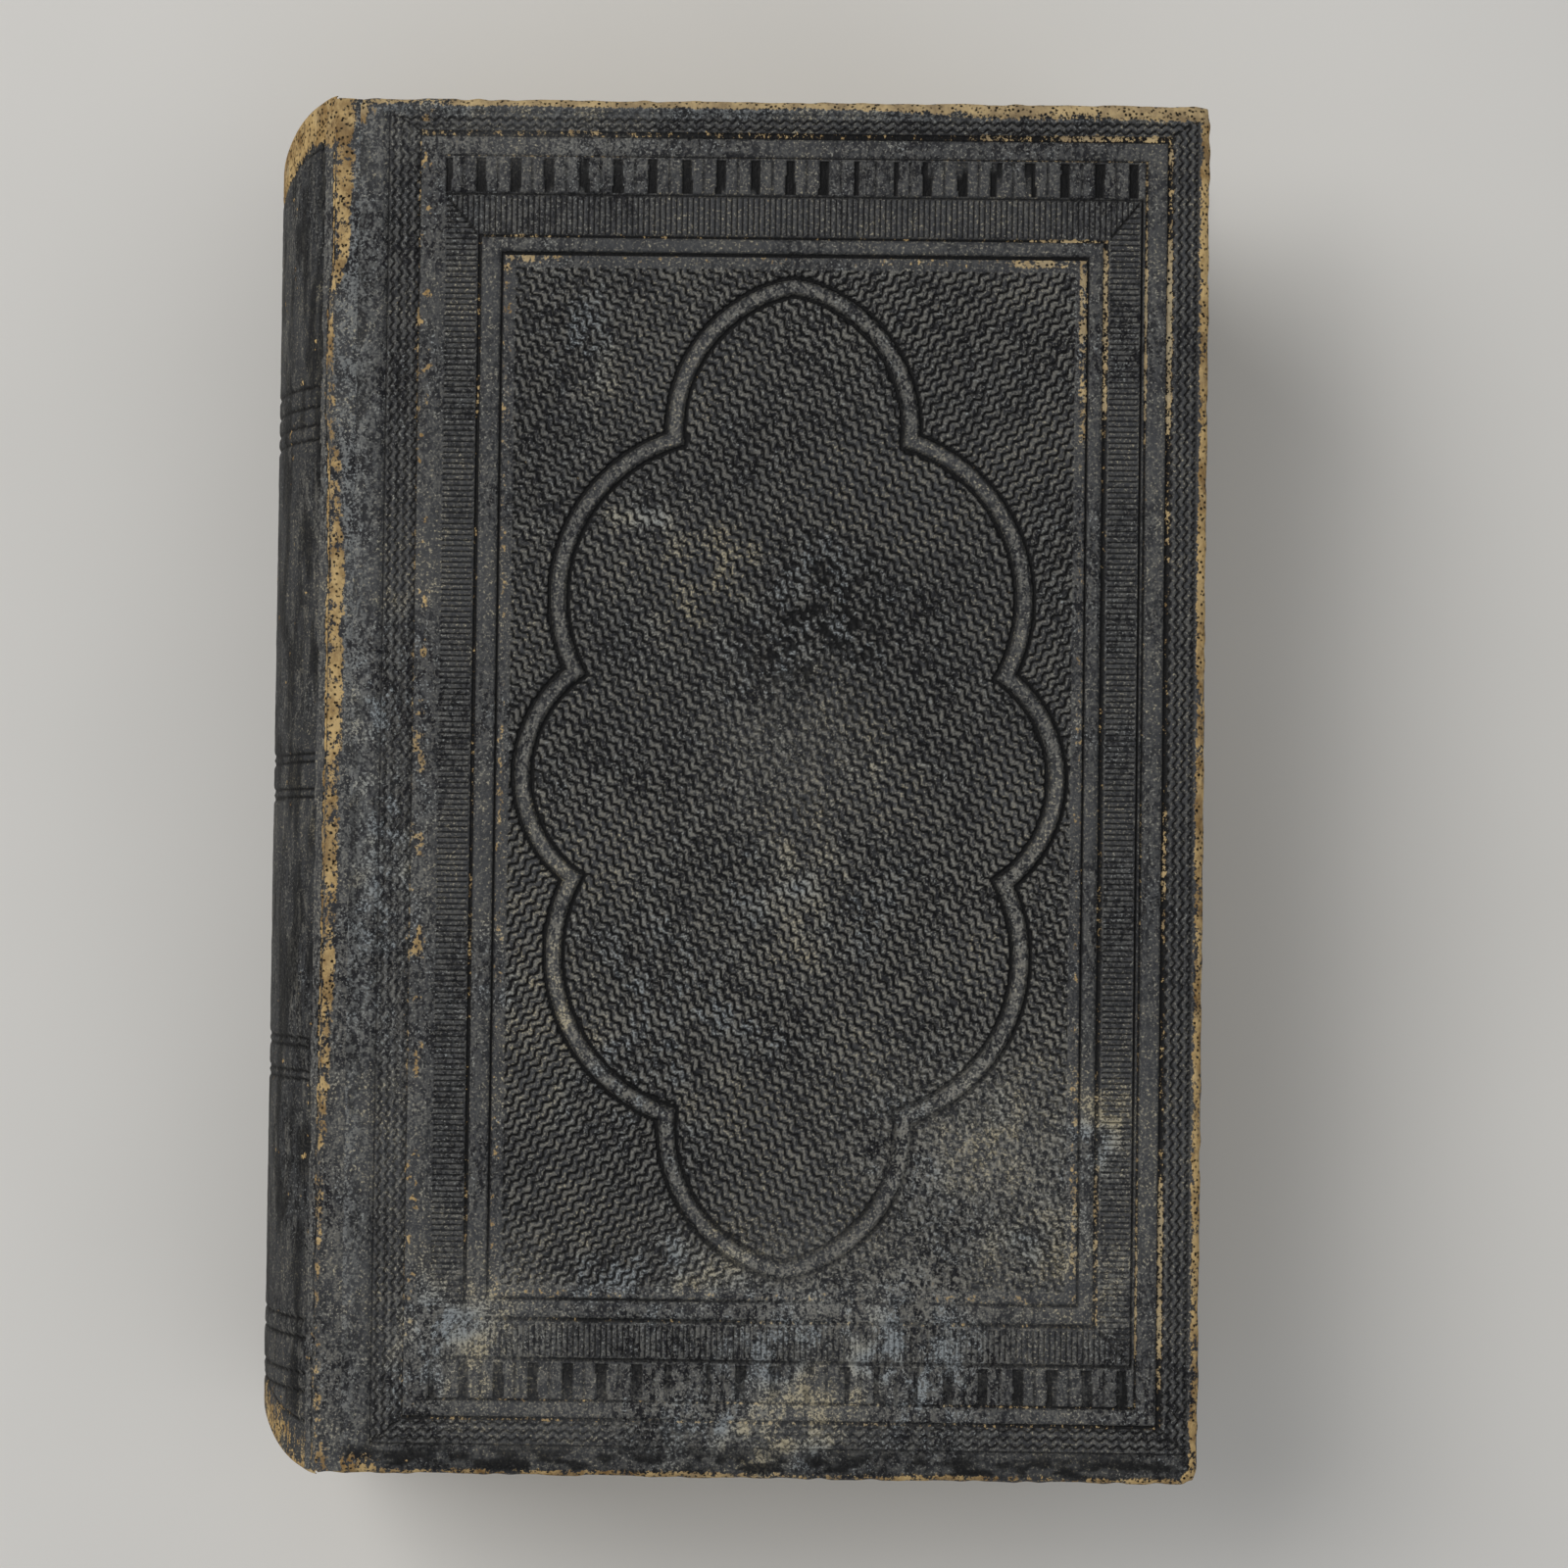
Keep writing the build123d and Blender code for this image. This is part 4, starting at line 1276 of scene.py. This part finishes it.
def gathering_layers(node, seed):
    """A folded section as a pile of thin layers whose trimmed edges don't quite agree."""
    low, high = corners(node)
    block_top = corners("front_flyleaf")[0][2] - FLYLEAF_GAP
    top, bottom = min(high[2], block_top), max(low[2], 2 * MIDDLE_Z - block_top)
    fold_radius = SPINE_CENTRE_X - corners("gathering_06")[0][0]
    fore = corners("gathering_01")[1][0]
    thickness = (top - bottom) / LAYERS
    rng = np.random.default_rng(seed)
    patches = []
    for layer in range(LAYERS):
        z = bottom + (layer + 0.5) * thickness
        fold = SPINE_CENTRE_X - math.sqrt(fold_radius**2 - (z - MIDDLE_Z) ** 2)
        fold += 0.35 * abs(2 * (layer + 0.5) / LAYERS - 1) ** 2
        edge = fore - fore_hollow(z) - abs(rng.normal(0, 0.05)) - 0.02
        outline = layer_outline(z, layer, (edge, fold, high[1]), rng, seed)
        middle = np.array([(edge + fold) / 2, 0.0])
        out = outline - middle
        at_side = np.abs(out) > (edge - fold) / 2 - 1, np.abs(out) > high[1] - 1
        pull = np.sign(out) * np.stack([at_side[0][:, 0], at_side[1][:, 1]], axis=-1)
        rings = []
        for share, inset in LAYER_RINGS:
            level = np.full((len(outline), 1), z + (share - 0.5) * thickness)
            rings.append(np.concatenate([outline - pull * inset, level], axis=1))
        rings = np.stack(rings)
        # Each layer's edge is browned by a random amount; its top and bottom rings, in the gaps between
        # layers, get the full mark as painted shade.
        base = 0.2 + 0.5 * rng.random()
        edge_darkening = np.array([1.0, base, base, 1.0])[:, None]
        patches.append(sheet(rings, {"edge": edge_darkening}, closed=True))
        if layer in (0, LAYERS - 1):
            for ring, flip in ((rings[0], True), (rings[-1], False)):
                centre = np.array([*middle, ring[0, 2]])
                shares, near = np.array(FACE_RINGS).T
                face = centre + (ring[None] - centre) * shares[:, None, None]
                patches.append(sheet(face, {"edge": near[:, None]}, flip=flip, closed=True))
    return patches


class PRAYER_BOOK_OT_gatherings(bpy.types.Operator):
    """The sewn sections of leaves, with their trimmed edges"""

    bl_idname = "prayer_book.gatherings"
    bl_label = "Gatherings"

    def execute(self, context):
        looks = context.scene.prayer_book_text_block
        colours = looks.page, looks.foxing_and_shade, looks.ruling
        paper = rag_paper("rag_paper_trimmed_edges", *colours, stacked=True)
        for number in range(1, 13):
            node = f"gathering_{number:02d}"
            layers = gathering_layers(node, 600 + number)
            made = piece(f"{node}_leaves", layers, paper)
            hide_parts(node)
            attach(made, "front_half" if number <= 6 else "back_half")
        return {"FINISHED"}


def single_leaf(node, seed):
    """A single leaf with a slightly wavy surface and a worn outline."""
    low, high = corners(node)
    u, v = np.meshgrid(np.linspace(0, 1, 90), np.linspace(-1, 1, 130), indexing="ij")
    half = high[1]
    ragged_y = 0.25 * speckle(u * 40, np.sign(v), 2.0, seed) * (np.abs(v) == 1)
    ragged_x = 0.25 * speckle(v * 60, u, 2.5, seed + 1) * (u == 1)
    x = low[0] + u * (high[0] - low[0]) - ragged_x
    y = v * half - np.sign(v) * ragged_y
    swell = LEAF_SWELL * (mottle(x, y, 24.0, seed + 2) - 0.5) * step(u, 0, 0.2)
    z = (low[2] + high[2]) / 2 + swell
    away = np.minimum(high[0] - x, half - np.abs(y))
    marks = {"edge": 0.55 * step(away, 3.5, 0.2)}
    above = np.stack([x, y, z + LEAF_THICKNESS / 2], axis=-1)
    below = np.stack([x, y, z - LEAF_THICKNESS / 2], axis=-1)
    return [sheet(above, marks), sheet(below, marks, flip=True)]


def joint_paper(lean):
    """Endpaper pasted up the inside of a joint: on the block if it leans back, else on the board."""
    block_top = corners("front_flyleaf")[0][2] - JOINT_PAPER_GAP
    foot = block_top if lean < 0 else PASTE_LOW[2] - 0.02
    x0 = RIDGE_X + 0.05 * lean
    flat = (RIDGE_X + 4.0, foot), (RIDGE_X + 0.3, foot)
    path = np.array([*flat, (x0, foot + 0.25), (x0, TOP_Z - 0.3), (x0, TOP_Z)])
    reach = HALF_HEIGHT - JOINT_PAPER_MARGIN
    up = np.linspace(-reach, reach, 60)
    points = np.zeros((len(path), len(up), 3))
    points[..., 0], points[..., 2] = path[:, :1], path[:, 1:]
    points[..., 1] = up[None, :]
    # Darker towards the joint and up its wall.
    edge_darkening = np.array([0.1, 0.4, 0.7, 0.8, 0.9])[:, None]
    return sheet(points, {"edge": edge_darkening}, flip=lean > 0)


class PRAYER_BOOK_OT_single_leaves(bpy.types.Operator):
    """The flyleaves, the two middle leaves and the paper inside each joint"""

    bl_idname = "prayer_book.single_leaves"
    bl_label = "Flyleaves and middle leaves"

    def execute(self, context):
        looks = context.scene.prayer_book_text_block
        plain = rag_paper("endpaper_free", looks.endpaper, looks.foxing_and_shade)
        ruled = rag_paper("rag_paper_page", looks.page, looks.foxing_and_shade, looks.ruling)
        leaves = (
            ("front_flyleaf", plain, "endpaper"),
            ("back_flyleaf", plain, "endpaper"),
            ("left_middle_leaf", ruled, "book_paper"),
            ("right_middle_leaf", ruled, "book_paper"),
        )
        for number, (node, material, slot) in enumerate(leaves):
            made = piece(f"{node}_sheet", single_leaf(node, 700 + 10 * number), material)
            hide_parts(node)
            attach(made, node)
        for side in ("front", "back"):
            for body, lean in ((f"{side}_half", -1), (f"{side}_cover", 1)):
                patch = joint_paper(lean)
                if side == "back":
                    patch = mirrored(patch)
                where = "block" if lean < 0 else "board"
                made = piece(f"{side}_joint_paper_{where}", [patch], plain)
                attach(made, body)
        return {"FINISHED"}


# ---- stage ----

# Half the width of the table, in millimetres
TABLE_REACH = 3000


def soft_light(name, place, power, size, colour):
    """A square soft lamp aimed at the book, its place in metres."""
    lamp = bpy.data.lights.new(name, "AREA")
    lamp.energy, lamp.size, lamp.color = power, size, colour
    made = bpy.data.objects.new(name, lamp)
    made.location = place
    made.rotation_euler = (-Vector(place)).to_track_quat("-Z", "Y").to_euler()
    bpy.context.scene.collection.objects.link(made)


class PRAYER_BOOK_OT_stage(bpy.types.Operator):
    """Pale table, soft lights and a camera straight above the book"""

    bl_idname = "prayer_book.stage"
    bl_label = "Stage"

    def execute(self, context):
        looks = context.scene.prayer_book_stage
        wide = np.linspace(-TABLE_REACH, TABLE_REACH, 3)
        x, y = np.meshgrid(wide, wide, indexing="ij")
        flat = np.stack([x, y, np.zeros_like(x)], axis=-1)
        floor = piece("table", [sheet(flat, {})], matt_table("matt_table_paint", looks))
        soft_light("window", (-0.7, 0.45, 1.05), power=9.5, size=0.8, colour=(1.0, 0.985, 0.96))
        soft_light("fill", (0.9, -0.5, 1.1), power=3.0, size=1.4, colour=(0.95, 0.97, 1.0))
        world = bpy.data.worlds.new("soft_room")
        context.scene.world = world
        world.use_nodes = True
        background = world.node_tree.nodes["Background"]
        background.inputs["Color"].default_value = linear("#eef0f2")
        background.inputs["Strength"].default_value = 0.42
        lens = bpy.data.cameras.new("camera")
        lens.angle = looks.view
        lens.clip_start = 0.01
        lens.dof.use_dof = False
        camera = bpy.data.objects.new("camera", lens)
        camera.location = looks.place
        camera.rotation_euler = looks.turn
        context.scene.collection.objects.link(camera)
        context.scene.camera = camera
        context.scene.view_settings.view_transform = "Standard"
        return {"FINISHED"}


class PRAYER_BOOK_PT_panel(bpy.types.Panel):
    """Lists the steps that build the book"""

    bl_idname = "PRAYER_BOOK_PT_panel"
    bl_label = "Prayer Book"
    bl_space_type = "VIEW_3D"
    bl_region_type = "UI"
    bl_category = "Prayer Book"

    def draw(self, context):
        for step_class in STEPS:
            self.layout.operator(step_class.bl_idname)
        for group in SETTINGS:
            settings = getattr(context.scene, group)
            for name in settings.__annotations__:
                self.layout.prop(settings, name)


STEPS = (
    PRAYER_BOOK_OT_stage,
    PRAYER_BOOK_OT_covers,
    PRAYER_BOOK_OT_boards,
    PRAYER_BOOK_OT_spine,
    PRAYER_BOOK_OT_joints,
    PRAYER_BOOK_OT_linings,
    PRAYER_BOOK_OT_endbands,
    PRAYER_BOOK_OT_gatherings,
    PRAYER_BOOK_OT_single_leaves,
)
SETTINGS = {
    "prayer_book_leather": LeatherLooks,
    "prayer_book_text_block": TextBlockLooks,
    "prayer_book_plate": PlateSizes,
    "prayer_book_stage": StageLooks,
}


def register():
    for group in SETTINGS.values():
        bpy.utils.register_class(group)
    for name, group in SETTINGS.items():
        setattr(bpy.types.Scene, name, PointerProperty(type=group))
    for made in (*STEPS, PRAYER_BOOK_PT_panel):
        bpy.utils.register_class(made)


def unregister():
    for made in (PRAYER_BOOK_PT_panel, *reversed(STEPS)):
        bpy.utils.unregister_class(made)
    for name, group in SETTINGS.items():
        delattr(bpy.types.Scene, name)
        bpy.utils.unregister_class(group)


def main():
    register()
    bpy.ops.prayer_book.stage()
    bpy.ops.prayer_book.covers()
    bpy.ops.prayer_book.boards()
    bpy.ops.prayer_book.spine()
    bpy.ops.prayer_book.joints()
    bpy.ops.prayer_book.linings()
    bpy.ops.prayer_book.endbands()
    bpy.ops.prayer_book.gatherings()
    bpy.ops.prayer_book.single_leaves()


if __name__ == "__main__":
    main()
